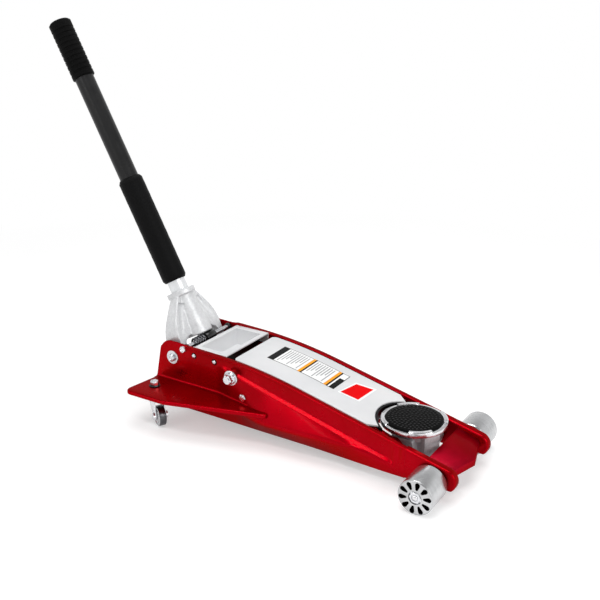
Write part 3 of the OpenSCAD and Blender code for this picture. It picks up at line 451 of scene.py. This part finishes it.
def camera():
    """Above the jack's near side and in front of it, looking back and down at it."""
    data = bpy.data.cameras.new("camera")
    data.sensor_width = 36
    data.lens = LENS
    data.clip_end = 20
    cam = bpy.data.objects.new("camera", data)
    cam.location = (AXLE_X + CAMERA_X, CAMERA_Y, CAMERA_Z)
    cam.rotation_euler = (math.radians(90 - TILT), 0, math.radians(TURN))
    scene.collection.objects.link(cam)
    scene.camera = cam


def backdrop_rays(nt):
    """1 for the rays that see the backdrop: from the camera, by reflection or through glass."""
    path = nt.nodes.new("ShaderNodeLightPath")
    either = path.outputs["Is Camera Ray"]
    for name in ("Is Glossy Ray", "Is Transmission Ray"):
        most = nt.nodes.new("ShaderNodeMath")
        most.operation = "MAXIMUM"
        nt.links.new(either, most.inputs[0])
        nt.links.new(path.outputs[name], most.inputs[1])
        either = most.outputs[0]
    return either


def floor_material():
    """Nearly white, lit a little by itself where it is seen, and pure white far out."""
    mat, nt, bsdf = new_material("floor_white")
    v = coordinates(nt)
    tone = ramp(nt, noise(nt, v, 4, 2), [(0.3, FLOOR_DARK), (0.7, FLOOR_PALE)])
    nt.links.new(tone, bsdf.inputs["Base Color"])
    bsdf.inputs["Roughness"].default_value = 0.6
    bsdf.inputs["Specular IOR Level"].default_value = 0.1
    glow = nt.nodes.new("ShaderNodeEmission")
    seen = nt.nodes.new("ShaderNodeMath")
    seen.operation = "MULTIPLY"
    seen.inputs[1].default_value = FLOOR_LIGHT
    nt.links.new(backdrop_rays(nt), seen.inputs[0])
    nt.links.new(seen.outputs[0], glow.inputs["Strength"])
    add = nt.nodes.new("ShaderNodeAddShader")
    nt.links.new(bsdf.outputs["BSDF"], add.inputs[0])
    nt.links.new(glow.outputs["Emission"], add.inputs[1])
    white = nt.nodes.new("ShaderNodeEmission")
    reach = nt.nodes.new("ShaderNodeVectorMath")
    reach.operation = "LENGTH"
    nt.links.new(v, reach.inputs[0])
    fade = nt.nodes.new("ShaderNodeMapRange")
    fade.inputs["From Min"].default_value = FADE_FROM
    fade.inputs["From Max"].default_value = FADE_TO
    nt.links.new(reach.outputs["Value"], fade.inputs["Value"])
    blend = nt.nodes.new("ShaderNodeMixShader")
    nt.links.new(fade.outputs["Result"], blend.inputs["Fac"])
    nt.links.new(add.outputs[0], blend.inputs[1])
    nt.links.new(white.outputs["Emission"], blend.inputs[2])
    out = next(n for n in nt.nodes if n.type == "OUTPUT_MATERIAL")
    nt.links.new(blend.outputs[0], out.inputs["Surface"])
    return mat


def floor():
    """A wide level square that the jack stands on."""
    mesh = bpy.data.meshes.new("floor")
    corners = [(-FLOOR, -FLOOR, 0), (FLOOR, -FLOOR, 0), (FLOOR, FLOOR, 0), (-FLOOR, FLOOR, 0)]
    mesh.from_pydata(corners, [], [(0, 1, 2, 3)])
    obj = bpy.data.objects.new("floor", mesh)
    scene.collection.objects.link(obj)
    obj.data.materials.append(floor_material())


def world():
    """White at the horizon, as the backdrop is, and darker overhead, where the softboxes hang."""
    w = bpy.data.worlds.new("studio")
    w.use_nodes = True
    scene.world = w
    nt = w.node_tree
    nt.nodes.clear()
    out = nt.nodes.new("ShaderNodeOutputWorld")
    back = nt.nodes.new("ShaderNodeBackground")
    back.inputs["Color"].default_value = (1, 1, 1, 1)
    way = nt.nodes.new("ShaderNodeTexCoord")
    split = nt.nodes.new("ShaderNodeSeparateXYZ")
    nt.links.new(way.outputs["Generated"], split.inputs[0])
    dome = nt.nodes.new("ShaderNodeMapRange")
    dome.interpolation_type = "SMOOTHSTEP"
    dome.inputs["From Min"].default_value = math.sin(math.radians(DOME_FROM))
    dome.inputs["From Max"].default_value = math.sin(math.radians(DOME_TO))
    dome.inputs["To Min"].default_value = 1.0
    dome.inputs["To Max"].default_value = DOME
    nt.links.new(split.outputs["Z"], dome.inputs["Value"])
    level = nt.nodes.new("ShaderNodeMapRange")
    level.inputs["To Min"].default_value = AMBIENT
    nt.links.new(dome.outputs["Result"], level.inputs["To Max"])
    nt.links.new(backdrop_rays(nt), level.inputs["Value"])
    nt.links.new(level.outputs["Result"], back.inputs["Strength"])
    nt.links.new(back.outputs["Background"], out.inputs["Surface"])


def softbox(name, place_at, aim, size, power):
    """A rectangular lamp in metres and watts, turned towards aim."""
    data = bpy.data.lights.new(name, "AREA")
    data.shape = "RECTANGLE"
    data.size, data.size_y = size
    data.energy = power
    obj = bpy.data.objects.new(name, data)
    obj.location = place_at
    obj.rotation_euler = (Vector(aim) - Vector(place_at)).to_track_quat("-Z", "Y").to_euler()
    scene.collection.objects.link(obj)


camera()
floor()
world()
# Each softbox's place, aim, size and power.
softbox("top", (0.1, 0.5, 2.6), (0, 0, 0.1), (2.2, 2.2), 42)
softbox("side", (-1.2, -1.9, 1.5), (0, 0, 0.1), (1.4, 1.0), 6)
softbox("low_edge", (-0.9, -1.9, 1.25), (0, 0, 0.1), (1.9, 0.12), 3.5)
softbox("high_edge", (-0.1, -0.95, 1.85), (-0.1, 0, 0.1), (1.4, 0.22), 9)
softbox("front", (2.3, -0.4, 1.2), (0.1, 0, 0.1), (1.2, 1.2), 18)
scene.view_settings.view_transform = "Standard"

# ---------------------------------------------------------------- side plates

# How far out the sheet's faces stand, and those of the thick nose welded to it.
PLATE_IN, SHEET, STEP, NOSE_IN = 66.0, 4.0, 6.0, 60.5
PLATE_OUT = PLATE_IN + SHEET
NOSE_OUT = PLATE_OUT + STEP
# The plate's and the wing's heights, the wing's reach and its rim.
PLATE_Z, TOP_Z, WING_Z, WING_Y, WING_RIM = 19.0, 144.0, 70.0, 151.0, 7.0
# The leaning rear edge and its round corner, which meets the top edge at CORNER_TOP.
REAR_X, REAR_LEAN, REAR_CORNER, CORNER_TOP = -565.0, math.radians(13.6), 25.0, -527
# The top edge: a flat rear slope, a bend and a steeper front slope down to the round nose.
BEND_X, BEND_R, REAR_SLOPE, FRONT_SLOPE = -430.0, 900.0, 0.035, 0.2364
BEND_END = BEND_X + (FRONT_SLOPE - REAR_SLOPE) * BEND_R
NOSE_X, NOSE_R, NOSE_BACK = 21.0, 20.0, -49
# The bottom edge is level as far as FOOT_X and then rises to the wing's underside.
FOOT_X, FOOT_END, FOOT_Z = -516, -556, WING_Z - 10
# The bulge swells from BULGE_START to BULGE_REAR and fades from just before it to BULGE_END.
BULGE_D, BULGE_START, BULGE_REAR, BULGE_END, RIDGE_Z = 22.0, -400, -305.0, -45, 50.0
# The crease under the top strip, how wide its fold is, and the stretches where each level of the
# sheet steps out by STEP.
CREASE_Z, CREASE_SLOPE, FOLD = 24, 0.2527, 5
LIP_OUT, SIDE_OUT, RIM_OUT = (-490, -476), (-424, -385), (-250, -60)
FOOT_OUT, STRIP_OUT = (-78, -62), (-62, -50)
# The round pocket in the bulge above the wing's front end: its place, radius, floor and heights.
POCKET_X, POCKET_R, POCKET_OUT, POCKET_LOW, POCKET_HIGH = -308, 10, 92, 71, 96
# The fillet between plate and wing runs from SWEEP_X to SWEEP_END.
SWEEP_X, SWEEP_END = -562.6, -345


def z_top(x):
    """Height of the side plates' top edge."""
    if x < BEND_X:
        return TOP_Z - REAR_SLOPE * (x - BEND_X)
    along = min(x, BEND_END) - BEND_X
    return TOP_Z - REAR_SLOPE * along - along ** 2 / (2 * BEND_R) - FRONT_SLOPE * max(0.0, x - BEND_END)


def rise(x, a, b):
    """0 at a and before it, 1 at b and beyond it, and smooth in between."""
    t = max(0.0, min(1.0, (x - a) / (b - a)))
    return t * t * (3 - 2 * t)


NOSE_Z = z_top(NOSE_X) - NOSE_R / math.cos(math.atan(FRONT_SLOPE))
CORNER_Z = z_top(CORNER_TOP) - REAR_CORNER
CORNER_X = REAR_X + (CORNER_Z - WING_Z) * math.tan(REAR_LEAN) + REAR_CORNER / math.cos(REAR_LEAN)


def plate_top(x):
    """Top of the plate's outline, with its round rear corner and round nose."""
    z = z_top(x)
    if x < CORNER_X:
        lean_end = CORNER_X - REAR_CORNER * math.cos(REAR_LEAN)
        if x < lean_end:
            # the rear edge starts a little under the wing's top and is drawn steeper than it leans
            z = min(z, WING_Z - 4 + (x - REAR_X) / math.tan(REAR_LEAN) * 1.15)
        else:
            z = min(z, CORNER_Z + math.sqrt(max(0, REAR_CORNER ** 2 - (x - CORNER_X) ** 2)))
    tangent = NOSE_X + NOSE_R * math.sin(math.atan(FRONT_SLOPE))
    if x > tangent:
        z = NOSE_Z + math.sqrt(max(0, NOSE_R ** 2 - (x - NOSE_X) ** 2))
    return z


def plate_bottom(x):
    """Bottom of the plate's outline, raised under the wing and round at the nose."""
    z = PLATE_Z
    if x <= FOOT_END:
        z = FOOT_Z + (FOOT_END - x) * 6 / (FOOT_END - REAR_X)
    elif x < FOOT_X:
        z = PLATE_Z + (FOOT_X - x) * (FOOT_Z - PLATE_Z) / (FOOT_X - FOOT_END)
    if x > NOSE_X:
        z = max(z, NOSE_Z - math.sqrt(max(0, NOSE_R ** 2 - (x - NOSE_X) ** 2)))
    return z


def bulge(x):
    """How far the plate's ridge swells out at x."""
    return BULGE_D * rise(x, BULGE_START, BULGE_REAR) * (1 - rise(x, BULGE_REAR - 20, BULGE_END))


def plate_ring(x):
    """The pressed sheet's closed cross-section at x, as rounded [outwards, height] points."""
    top, bottom = plate_top(x), plate_bottom(x)
    height = top - bottom
    lip = PLATE_OUT + STEP * rise(x, *LIP_OUT)
    strip = PLATE_OUT + STEP * rise(x, *STRIP_OUT)
    foot = PLATE_OUT + STEP * rise(x, *FOOT_OUT)
    crease = max(bottom + 6, min(CREASE_Z - CREASE_SLOPE * x, top - 14 * rise(height, 5, 60) - 1))
    fold = crease - FOLD * rise(height, 5, 40)
    ridge = max(bottom + 3, min(RIDGE_Z, fold - 4))
    side = max(foot, PLATE_OUT + STEP * rise(x, *SIDE_OUT))
    out = side + bulge(x)
    under = PLATE_OUT + 5.8 * rise(x, *RIM_OUT)
    rim = 0.45 * min(5.5, height)
    path = [
        (PLATE_IN, top), (lip, top), (lip, top - rim), (strip + 0.2, top - rim - 0.8),
        (foot, crease), (side, fold), (out, ridge), (under, bottom),
        (max(under - SHEET, PLATE_IN), bottom), (max(out - SHEET, PLATE_IN), ridge - 2),
        (max(side - SHEET, PLATE_IN), fold - 2), (PLATE_IN, crease - 2),
    ]
    return fillet(path, [1.2, 1.6, 1.4, 2.5, 3, 5, 11, 1.2, 1.0, 8, 5, 3])


def pocketed(x, o, z):
    """How far out a point of the sheet stands once the round pocket is pressed in."""
    across = POCKET_R - abs(x - POCKET_X)
    if across > 0 and POCKET_LOW < z < POCKET_HIGH and o > PLATE_OUT + 4:
        depth = math.sqrt(POCKET_R ** 2 - (POCKET_R - across) ** 2)
        fade = rise(z, POCKET_HIGH, POCKET_HIGH - 8), rise(z, POCKET_LOW - 0.5, POCKET_LOW + 2)
        o += (min(o, POCKET_OUT - depth) - o) * fade[0] * fade[1]
    return o


def plate_mesh(side):
    """The pressed sheet, as sections that stand closer together where its shape changes faster."""
    xs = [REAR_X + d for d in (0.02, 1, 2.5, 5, 8, 11, 14, 17)]
    xs += list(np.linspace(REAR_X + 20, -520, 14))
    stretches = ((-514, -426, 6.0), (-426, -340, 4.0), (-340, -270, 2.0), (-270, -70, 6.0), (-70, -50, 2.0))
    for start, end, apart in (*stretches, (-48, -44, 2.0)):
        xs += list(np.arange(start, end, apart))
    rings = [[(x, -pocketed(x, o, z) * side, z) for o, z in plate_ring(x)] for x in xs]
    m = len(rings[0])
    points = [p for r in rings for p in r]
    faces = ring_faces(len(rings), m)
    faces += [tuple(range(m)), tuple((len(rings) - 1) * m + k for k in range(m))]
    return points, faces


def round_outline(corners, steps=10):
    """Points round the hull of circles (x, y, r) listed counterclockwise."""
    out = []
    tangents = []
    for i, (x, y, r) in enumerate(corners):
        x2, y2, r2 = corners[(i + 1) % len(corners)]
        d = math.hypot(x2 - x, y2 - y)
        tangents.append(math.atan2(y2 - y, x2 - x) - math.pi / 2 + math.asin((r - r2) / d))
    for j, (x, y, r) in enumerate(corners):
        a0, a1 = tangents[j - 1], tangents[j]
        while a1 < a0:
            a1 += 2 * math.pi
        for k in range(steps + 1):
            a = a0 + (a1 - a0) * k / steps
            out.append((x + r * math.cos(a), y + r * math.sin(a)))
    return out


def wing_mesh(side):
    """The caster wing: a shelf with a rolled edge and a turned-down rim."""
    def outline(inset):
        """The wing seen from above: two corners in the plate and three round ones outside."""
        return round_outline([
            (REAR_X + 2.7 + inset, -PLATE_IN - 2, 0.5), (REAR_X + 6, -WING_Y + 13, 13 - inset),
            (-484, -WING_Y + 10, 9 - inset), (BULGE_REAR - 2, -PLATE_OUT - 22, 7 - inset),
            (BULGE_REAR - 6, -PLATE_IN - 2, 0.5),
        ])
    roll = 3.0
    levels = [(0.6, WING_Z - WING_RIM), (0, WING_Z - WING_RIM + 0.6)]
    for a in np.linspace(0, math.pi / 2, 6):
        levels.append((roll * (1 - math.cos(a)), WING_Z - roll + roll * math.sin(a)))
    inner = [(3.4, WING_Z - WING_RIM), (3.8, WING_Z - SHEET)]
    rings = [[(x, y * side, z) for x, y in outline(d)] for d, z in levels]
    under = [[(x, y * side, z) for x, y in outline(d)] for d, z in inner]
    m = len(rings[0])
    points = [p for r in reversed(under) for p in r] + [p for r in rings for p in r]
    rows = len(rings) + len(under)
    faces = ring_faces(rows, m)
    faces += [tuple(range(m)), tuple((rows - 1) * m + k for k in range(m))]
    return points, faces


def side_at(x, z):
    """How far out the sheet's outer face stands at height z, above its ridge."""
    fold = CREASE_Z - FOLD - CREASE_SLOPE * x
    side = PLATE_OUT + STEP * rise(x, *SIDE_OUT)
    return side + bulge(x) * max(0.0, min(1.0, (fold - z) / (fold - RIDGE_Z)))


def sweep_mesh(side):
    """The narrow hollow fillet between plate and wing; its radius fades from 6 to 3 at the front."""
    lean = 40
    stations = [SWEEP_X + d for d in (0, 4, 10, 18, 28, lean)]
    stations += list(np.arange(-516, SWEEP_END, 6.0)) + [SWEEP_END]
    points = []
    for x in stations:
        r = 6 - 3 * rise(x, -420, SWEEP_END)
        top, foot = (side_at(x, WING_Z + r), WING_Z + r), (side_at(x, WING_Z) + r, WING_Z)
        corner = (side_at(x, WING_Z), WING_Z)
        curve = [(side_at(x, WING_Z + r + 3), WING_Z + r + 3)]
        for k in range(11):
            t = k / 10
            curve.append(tuple(
                (1 - t) ** 2 * a + 2 * t * (1 - t) * c + t * t * b for a, c, b in zip(top, corner, foot)))
        curve.append((foot[0] + 3, WING_Z))
        back = max(0.0, 1 - (x - SWEEP_X) / lean)
        for o, z in curve:
            shift = back * ((z - WING_Z) * math.tan(REAR_LEAN) - (o - PLATE_OUT) * 0.115)
            points.append((x + shift, -side * (o + 0.06), z + 0.06))
    return points, ring_faces(len(stations), len(curve), closed=False)


def nose_block(side, node):
    """The thick welded end of a side plate, with soft rounded edges."""
    xs = list(np.linspace(NOSE_BACK, NOSE_X + NOSE_R * math.sin(math.atan(FRONT_SLOPE)), 9))
    outline = [(x, z_top(x)) for x in xs]
    high = math.pi / 2 - math.atan(FRONT_SLOPE)
    low = math.asin((PLATE_Z - NOSE_Z) / NOSE_R)
    for k in range(1, 17):
        a = high + (low - high) * k / 16
        outline.append((NOSE_X + NOSE_R * math.cos(a), NOSE_Z + NOSE_R * math.sin(a)))
    outline.append((NOSE_BACK, PLATE_Z))
    n = len(outline)
    points = [(x, -side * o, z) for o in (NOSE_IN, NOSE_OUT) for x, z in outline]
    faces = [tuple(range(n)), tuple(range(n, 2 * n))]
    faces += [(k, (k + 1) % n, n + (k + 1) % n, n + k) for k in range(n)]
    obj = piece("nose_" + node, points, faces, replaced=node, angle=40)
    ease = obj.modifiers.new("ease", "BEVEL")
    ease.width = 3.4 * MM
    ease.segments = 5
    ease.limit_method = "ANGLE"
    ease.angle_limit = math.radians(50)
    apply_modifiers(obj)
    shade(obj, 40)


def side_plate(side, node):
    """One side plate: sheet, wing and the fillet between them as one piece, and the nose."""
    points, faces = joined([plate_mesh(side), wing_mesh(side), sweep_mesh(side)])
    piece("plate_" + node, points, faces, replaced=node, angle=40)
    nose_block(side, node)


side_plate(1, "side_plate_near")
side_plate(-1, "side_plate_far")

# ---------------------------------------------------------------- yoke, stop rod and handle

ROD_X, ROD_Z = -496.0, 138.0
YOKE_X, YOKE_Z = -523.0, 116.0
# The handle leans back by LEAN, and its tube runs TUBE_U in front of the yoke's pivot.
LEAN, TUBE_U = math.radians(28.6), 18.4


def on_handle(u, y, h):
    """A point in the handle's own frame: u forwards, y to the left, h along the handle from the pivot."""
    x = YOKE_X + u * math.cos(LEAN) - h * math.sin(LEAN)
    return (x, y, YOKE_Z + u * math.sin(LEAN) + h * math.cos(LEAN))


HANDLE_AXIS = (-math.sin(LEAN), 0, math.cos(LEAN))
cast("handle_yoke", 1.15, 6, 0.5)


def stop_rod():
    """The rod across the plates behind the tray, with a stepped head at each end."""
    head = [(-3, 0), (-3, 4.4), (0, 4.4), (0, 6.2), (4.4, 6.2), (5.4, 5.2), (5.6, 3.4), (4.6, 2.8), (4.6, 0)]
    rod = turned([(-70, 0), (-70, 4.4), (70, 4.4), (70, 0)], (ROD_X, 0, ROD_Z), (0, 1, 0))
    piece("stop_rod_fine", *joined([rod] + on_both_sides(head, ROD_X, ROD_Z, PLATE_OUT)), replaced="stop_rod")


def handle_spring():
    """The coil round the stop rod, from y = start, with its last end bent down."""
    coils, wire, mean, start, length = 3.8, 2.0, 8.4, -41, 31
    steps = 130
    path = []
    for i in range(steps + 1):
        t = i / steps
        a = 2 * math.pi * coils * t
        y = start + wire + (length - 2 * wire) * t
        path.append((ROD_X + mean * math.cos(a), y, ROD_Z + mean * math.sin(a)))
    path.append((ROD_X + mean + 3, -11.5, ROD_Z - 5))
    piece("handle_spring_coil", *tube(path, wire), replaced="handle_spring", material=WIRE)


def foam_sleeve():
    """The foam grip, slightly uneven, with its ends rounded by edge."""
    start, length, r, inner, edge = 127.5, 208.0, 23.0, 17.8, 3.2
    rows = []
    for i in range(41):
        h = start + length * i / 40
        end = min(h - start, start + length - h)
        round_off = edge - math.sqrt(max(0.0, edge ** 2 - max(0.0, edge - end) ** 2))
        rows.append((h, r - round_off - 0.12 * (1 + math.sin(i * 1.7))))
    profile = [(start, inner)] + rows + [(start + length, inner)]
    origin = on_handle(TUBE_U, 0, 0)
    obj = piece("foam_grip", *turned(profile, origin, HANDLE_AXIS, 72), replaced="foam_sleeve", angle=70)


stop_rod()
handle_spring()
foam_sleeve()

# ---------------------------------------------------------------- saddle, rollers and fasteners

SADDLE_X, SADDLE_TOP, PAD_R = -67.7, 89.6, 47.8
STUD_ROW, STUD_APART = 6.0, 6.6
ROLLER_R, ROLLER_OUT = 29.7, NOSE_OUT + 3.5 + 55.5
PIVOT_X, PIVOT_Z = -385.0, 111.0
LINK_X, LINK_Z = PIVOT_X + 27, PIVOT_Z - 30
TRAY_SCREWS = ((-472.7, 130.0), (-427.0, 128.5))


def saddle_pad():
    """The rubber pad: a flat disc with rings of small round studs whose tops are lighter, as painted light.
    """
    origin = (SADDLE_X, 0, SADDLE_TOP - 7)
    disc = turned([(0, 0), (0, PAD_R), (5.4, PAD_R), (6, PAD_R - 0.7), (6, 0)], origin, (0, 0, 1), 96)
    parts = [disc]
    for ring in range(1, 8):
        r = STUD_ROW * ring
        count = round(2 * math.pi * r / STUD_APART)
        for k in range(count):
            a = 2 * math.pi * (k + 0.5 * (ring % 2)) / count
            at = (SADDLE_X + r * math.cos(a), r * math.sin(a), SADDLE_TOP - 1.05)
            parts.append(turned([(0, 0), (0, 2.5), (0.7, 1.8), (1.0, 1.0), (1.0, 0)], at, (0, 0, 1), 10))
    obj = piece("pad_studs", *joined(parts), replaced="saddle_pad", material=RUBBER, angle=50)
    # Painted light: the studs' tops take a lighter copy of the pad rubber.
    obj.data.materials.append(LIT_STUD_TOPS)
    for p in obj.data.polygons:
        if p.center.z > (SADDLE_TOP - 0.45) * MM:
            p.material_index = 1


def pivot_fasteners():
    """The yoke's bolts, both pivots' washers and the lift pivot's nuts."""
    bolt = [(-22, 0), (-22, 9), (2, 9), (2, 7.4), (5.2, 7.4), (6.6, 6.2), (7, 3.6), (6.2, 3), (6.2, 0)]
    bolts = joined(on_both_sides(bolt, YOKE_X, YOKE_Z, PLATE_OUT))
    piece("yoke_bolts_fine", *bolts, replaced="yoke_pivot_bolts")
    rear = on_both_sides([(0, 9.05), (0, 13), (1.3, 13), (2, 12.2), (2, 9.05)], YOKE_X, YOKE_Z, PLATE_OUT)
    front = on_both_sides([(1, 6.05), (1, 14), (3.2, 14), (4, 13), (4, 6.05)], PIVOT_X, PIVOT_Z, NOSE_OUT)
    piece("washers_fine", *joined(rear + front), replaced="pivot_washers")
    nut = [(4, 6.05), (4, 10.6), (6, 11), (7.6, 9.8), (8, 8.2, 6), (13.6, 8.2, 6), (14.8, 7.2), (14.8, 6.05)]
    nuts = joined(on_both_sides(nut, PIVOT_X, PIVOT_Z, NOSE_OUT))
    piece("pivot_nuts_fine", *nuts, replaced="lift_pivot_nuts")


def tray_screws():
    """Domed screws, each in a thin dark ring where its head meets the plate, the ring a painted shadow."""
    screw = [(-7, 0), (-7, 2.5), (-0.2, 2.5), (-0.2, 3.9), (1.2, 3.9), (2.1, 3.2), (2.5, 1.6), (2.5, 0)]
    ring = [(-0.5, 3.6), (-0.5, 5.7), (0.12, 5.7), (0.12, 3.6)]
    screws, rings = [], []
    for x, z in TRAY_SCREWS:
        screws += on_both_sides(screw, x, z, PLATE_OUT, 32)
        rings += on_both_sides(ring, x, z, PLATE_OUT, 32)
    piece("tray_screws_fine", *joined(screws), replaced="tray_screws")
    # Painted shadow: a near-black ring round each screw head.
    piece("tray_screw_shadow", *joined(rings), body="frame", slot="black_steel", material=RECESS_SHADE)


def link_pins():
    """The links' rear pins with hexagon heads, and the spacers on them inside the plates."""
    pin = [(-20, 0), (-20, 6), (2.5, 6), (2.5, 6.3, 6), (7.2, 6.3, 6), (8.4, 5.2), (8.5, 0)]
    spacer = [(-10, 6.05), (-10, 9), (-16.7, 9), (-16.7, 6.05)]
    pins = on_both_sides(pin, LINK_X, LINK_Z, NOSE_OUT) + on_both_sides(spacer, LINK_X, LINK_Z, NOSE_OUT)
    piece("link_pins_fine", *joined(pins), replaced="link_pivots")


def axle_ends():
    """The nuts sunk in the rollers' hubs, and the axle with its turned-down ends in them."""
    nut = [(-4, 4.6), (-4, 9), (-3.6, 9, 6), (-0.8, 9, 6), (0.1, 8.2), (0.1, 6), (-1, 5.4), (-1, 4.6)]
    piece("axle_nuts_fine", *joined(on_both_sides(nut, 0, ROLLER_R, ROLLER_OUT)), replaced="axle_nuts")
    half = ROLLER_OUT - 4.1
    rod = [(-half - 6, 0), (-half - 5.6, 2.6), (-half - 4.6, 4.2), (-half - 3.8, 4.55)]
    rod += [(-half, 4.55), (-half, 8)]
    rod += [(-h, r) for h, r in reversed(rod)]
    piece("front_axle_fine", *turned(rod, (0, 0, ROLLER_R), (0, 1, 0)), replaced="front_axle")


saddle_pad()
pivot_fasteners()
tray_screws()
link_pins()
axle_ends()

# ---------------------------------------------------------------- cover panel

# How far the panel's backing, its face and its print lie above the cover.
BACKING, FACE, PRINT = 0.10, 0.16, 0.22


def sheet_on_cover(name, corners, lift, material):
    """A thin printed patch that follows the cover's curve; corners are (x, y) in plan."""
    n = 10
    (ax, ay), (bx, by), (cx, cy), (dx, dy) = corners
    points = []
    for i in range(n + 1):
        for j in range(n + 1):
            f, g = i / n, j / n
            x = (1 - f) * ((1 - g) * ax + g * dx) + f * ((1 - g) * bx + g * cx)
            y = (1 - f) * ((1 - g) * ay + g * dy) + f * ((1 - g) * by + g * cy)
            points.append((x, y, z_top(x) - 1 + lift))
    faces = ring_faces(n + 1, n + 1, closed=False)
    piece(name, points, faces, body="arm", slot="white_paint", material=material, angle=60)


def bar(name, x0, x1, y0, y1, lift, material):
    """A patch with straight edges along and across the cover."""
    sheet_on_cover(name, [(x0, y0), (x1, y0), (x1, y1), (x0, y1)], lift, material)


def panel():
    """The printed panel as bare bars and lines, and the red tag, without any words."""
    x0, x1, y0, y1 = -349.0, -212.0, -18.0, 41.0
    bar("panel_frame", x0, x1, y0, y1, BACKING, INK)
    bar("panel_face", x0 + 13, x1 - 1.2, y0 + 1.2, y1 - 1.2, FACE, LABEL)
    for k, x in enumerate((-286.0, -233.0)):
        bar(f"panel_stripe_{k}", x, x + 5, y0, y1, PRINT, AMBER)
        bar(f"panel_edge_{k}", x + 5, x + 8, y0, y1, PRINT, INK)
    for group, (start, rows) in enumerate(((-332.0, 9), (-275.0, 8))):
        for k in range(rows):
            x = start + 4.9 * k
            reach = 49 - 7 * ((k * 5 + group) % 4)
            bar(f"panel_line_{group}_{k}", x, x + 2.0, y1 - 5 - reach, y1 - 5, PRINT, GREY_INK)
    bar("panel_foot", -222.0, x1, y0, y0 + 40, PRINT, INK)
    sheet_on_cover("tag_edge", [(-203, -19), (-163, -15), (-160, 44), (-196, 33)], BACKING, LABEL)
    sheet_on_cover("tag", [(-200, -15), (-167, -12), (-164, 38), (-193, 29)], FACE, TAG_RED)


panel()

# ---------------------------------------------------------------- every other CAD node, eased and painted

# The well's wall starts at WELL_FROM degrees, turns on by WELL_TURN and stays within WELL_HALF sideways.
WELL_FROM, WELL_TURN, WELL_HALF, WELL_STEPS = 122, 116, 53, 48
# The caster's tread lies beyond TREAD_R; the roller's slots lie between two radii and two depths.
TREAD_R, SLOT_IN, SLOT_OUT, SLOT_FROM, SLOT_TO = 17, 13.4, 28.2, 0.5, 50


def saddle_well():
    """The wall of the well in the arm that the saddle sits in, under the cover's round cut, black as painted
    shade.
    """
    section = [(60.5, -18), (66, -18), (66, -4.5), (64.3, -4.5), (64.3, -2.8), (60.5, -2.8)]
    points = []
    for k in range(WELL_STEPS + 1):
        a = math.radians(WELL_FROM + WELL_TURN * k / WELL_STEPS)
        for r, drop in section:
            x = SADDLE_X + r * math.cos(a)
            points.append((x, max(-WELL_HALF, min(WELL_HALF, r * math.sin(a))), z_top(x) + drop))
    m = len(section)
    faces = ring_faces(WELL_STEPS + 1, m)
    faces += [tuple(range(m)), tuple(WELL_STEPS * m + k for k in range(m))]
    piece("saddle_well", points, faces, body="arm", slot="black_steel", material=BLACK_STEEL_AND_SHADE)


def dark_outside(tray):
    """The dish's outer side, seen only in the gap in front of the tray, is painted black as painted shade.

    It is what lies below the rim and faces downwards.
    """
    tray.data.materials.append(BLACK_STEEL_AND_SHADE)
    top = max(p.center.z for p in tray.data.polygons)
    for p in tray.data.polygons:
        if p.center.z < top - 2.1 * MM and p.normal.z < -0.03:
            p.material_index = 1


def dark_tread(wheel):
    """The caster's tread is painted dark, as painted shade; its sides stay bright."""
    points = np.array([v.co for v in wheel.data.vertices])
    centre = (points.min(0) + points.max(0)) / 2
    axis = np.linalg.svd(points - points.mean(0))[2][2]
    wheel.data.materials.append(TREAD_SHADE)
    for p in wheel.data.polygons:
        away = np.array(p.center) - centre
        away -= axis * away.dot(axis)
        if abs(np.array(p.normal).dot(axis)) < 0.7 and np.linalg.norm(away) > TREAD_R * MM:
            p.material_index = 1


def darken_slots(roller):
    """The roller's slots are painted black inside, as painted shade."""
    roller.data.materials.append(RECESS_SHADE)
    for p in roller.data.polygons:
        x, y, z = (p.center.x - AXLE_X) / MM, abs(p.center.y) / MM, p.center.z / MM
        r = math.hypot(x, z - ROLLER_R)
        if SLOT_IN < r < SLOT_OUT and SLOT_FROM < ROLLER_OUT - y < SLOT_TO:
            p.material_index = 1


# CAD nodes with eased edges: the width of the easing in millimetres and its steps.
EASED = {
    "front_hood": (0.9, 2), "saddle_head": (1.1, 3), "lift_arm": (0.8, 2), "arm_cover": (0.9, 3),
    "power_unit": (0.8, 2), "tool_tray": (1.6, 3), "saddle": (0.8, 3), "front_roller_near": (0.9, 3),
    "front_roller_far": (0.9, 3), "caster_nuts": (0.6, 2), "caster_fork_near": (0.6, 2),
    "caster_fork_far": (0.6, 2), "caster_wheel_near": (0.5, 2), "caster_wheel_far": (0.5, 2),
    "stop_sleeves": (0.7, 2), "handle_tube_lower": (0.4, 2), "base_plate": (0.8, 2),
}
# CAD nodes whose colour differs from their slot's.
OWN = {"front_hood": HOOD_RED, "saddle_head": FORGED, "stop_sleeves": SLEEVE, "caster_washers": BLACK_STEEL_AND_SHADE}
for node, obj in frame["nodes"].items():
    paint_object(obj, OWN.get(node) or MATERIAL[SLOT[node]])
for node, (width, segments) in EASED.items():
    obj = refined(node, width, segments, OWN.get(node))
    if node.startswith("front_roller"):
        darken_slots(obj)
    if node.startswith("caster_wheel"):
        dark_tread(obj)
    if node == "tool_tray":
        dark_outside(obj)
saddle_well()
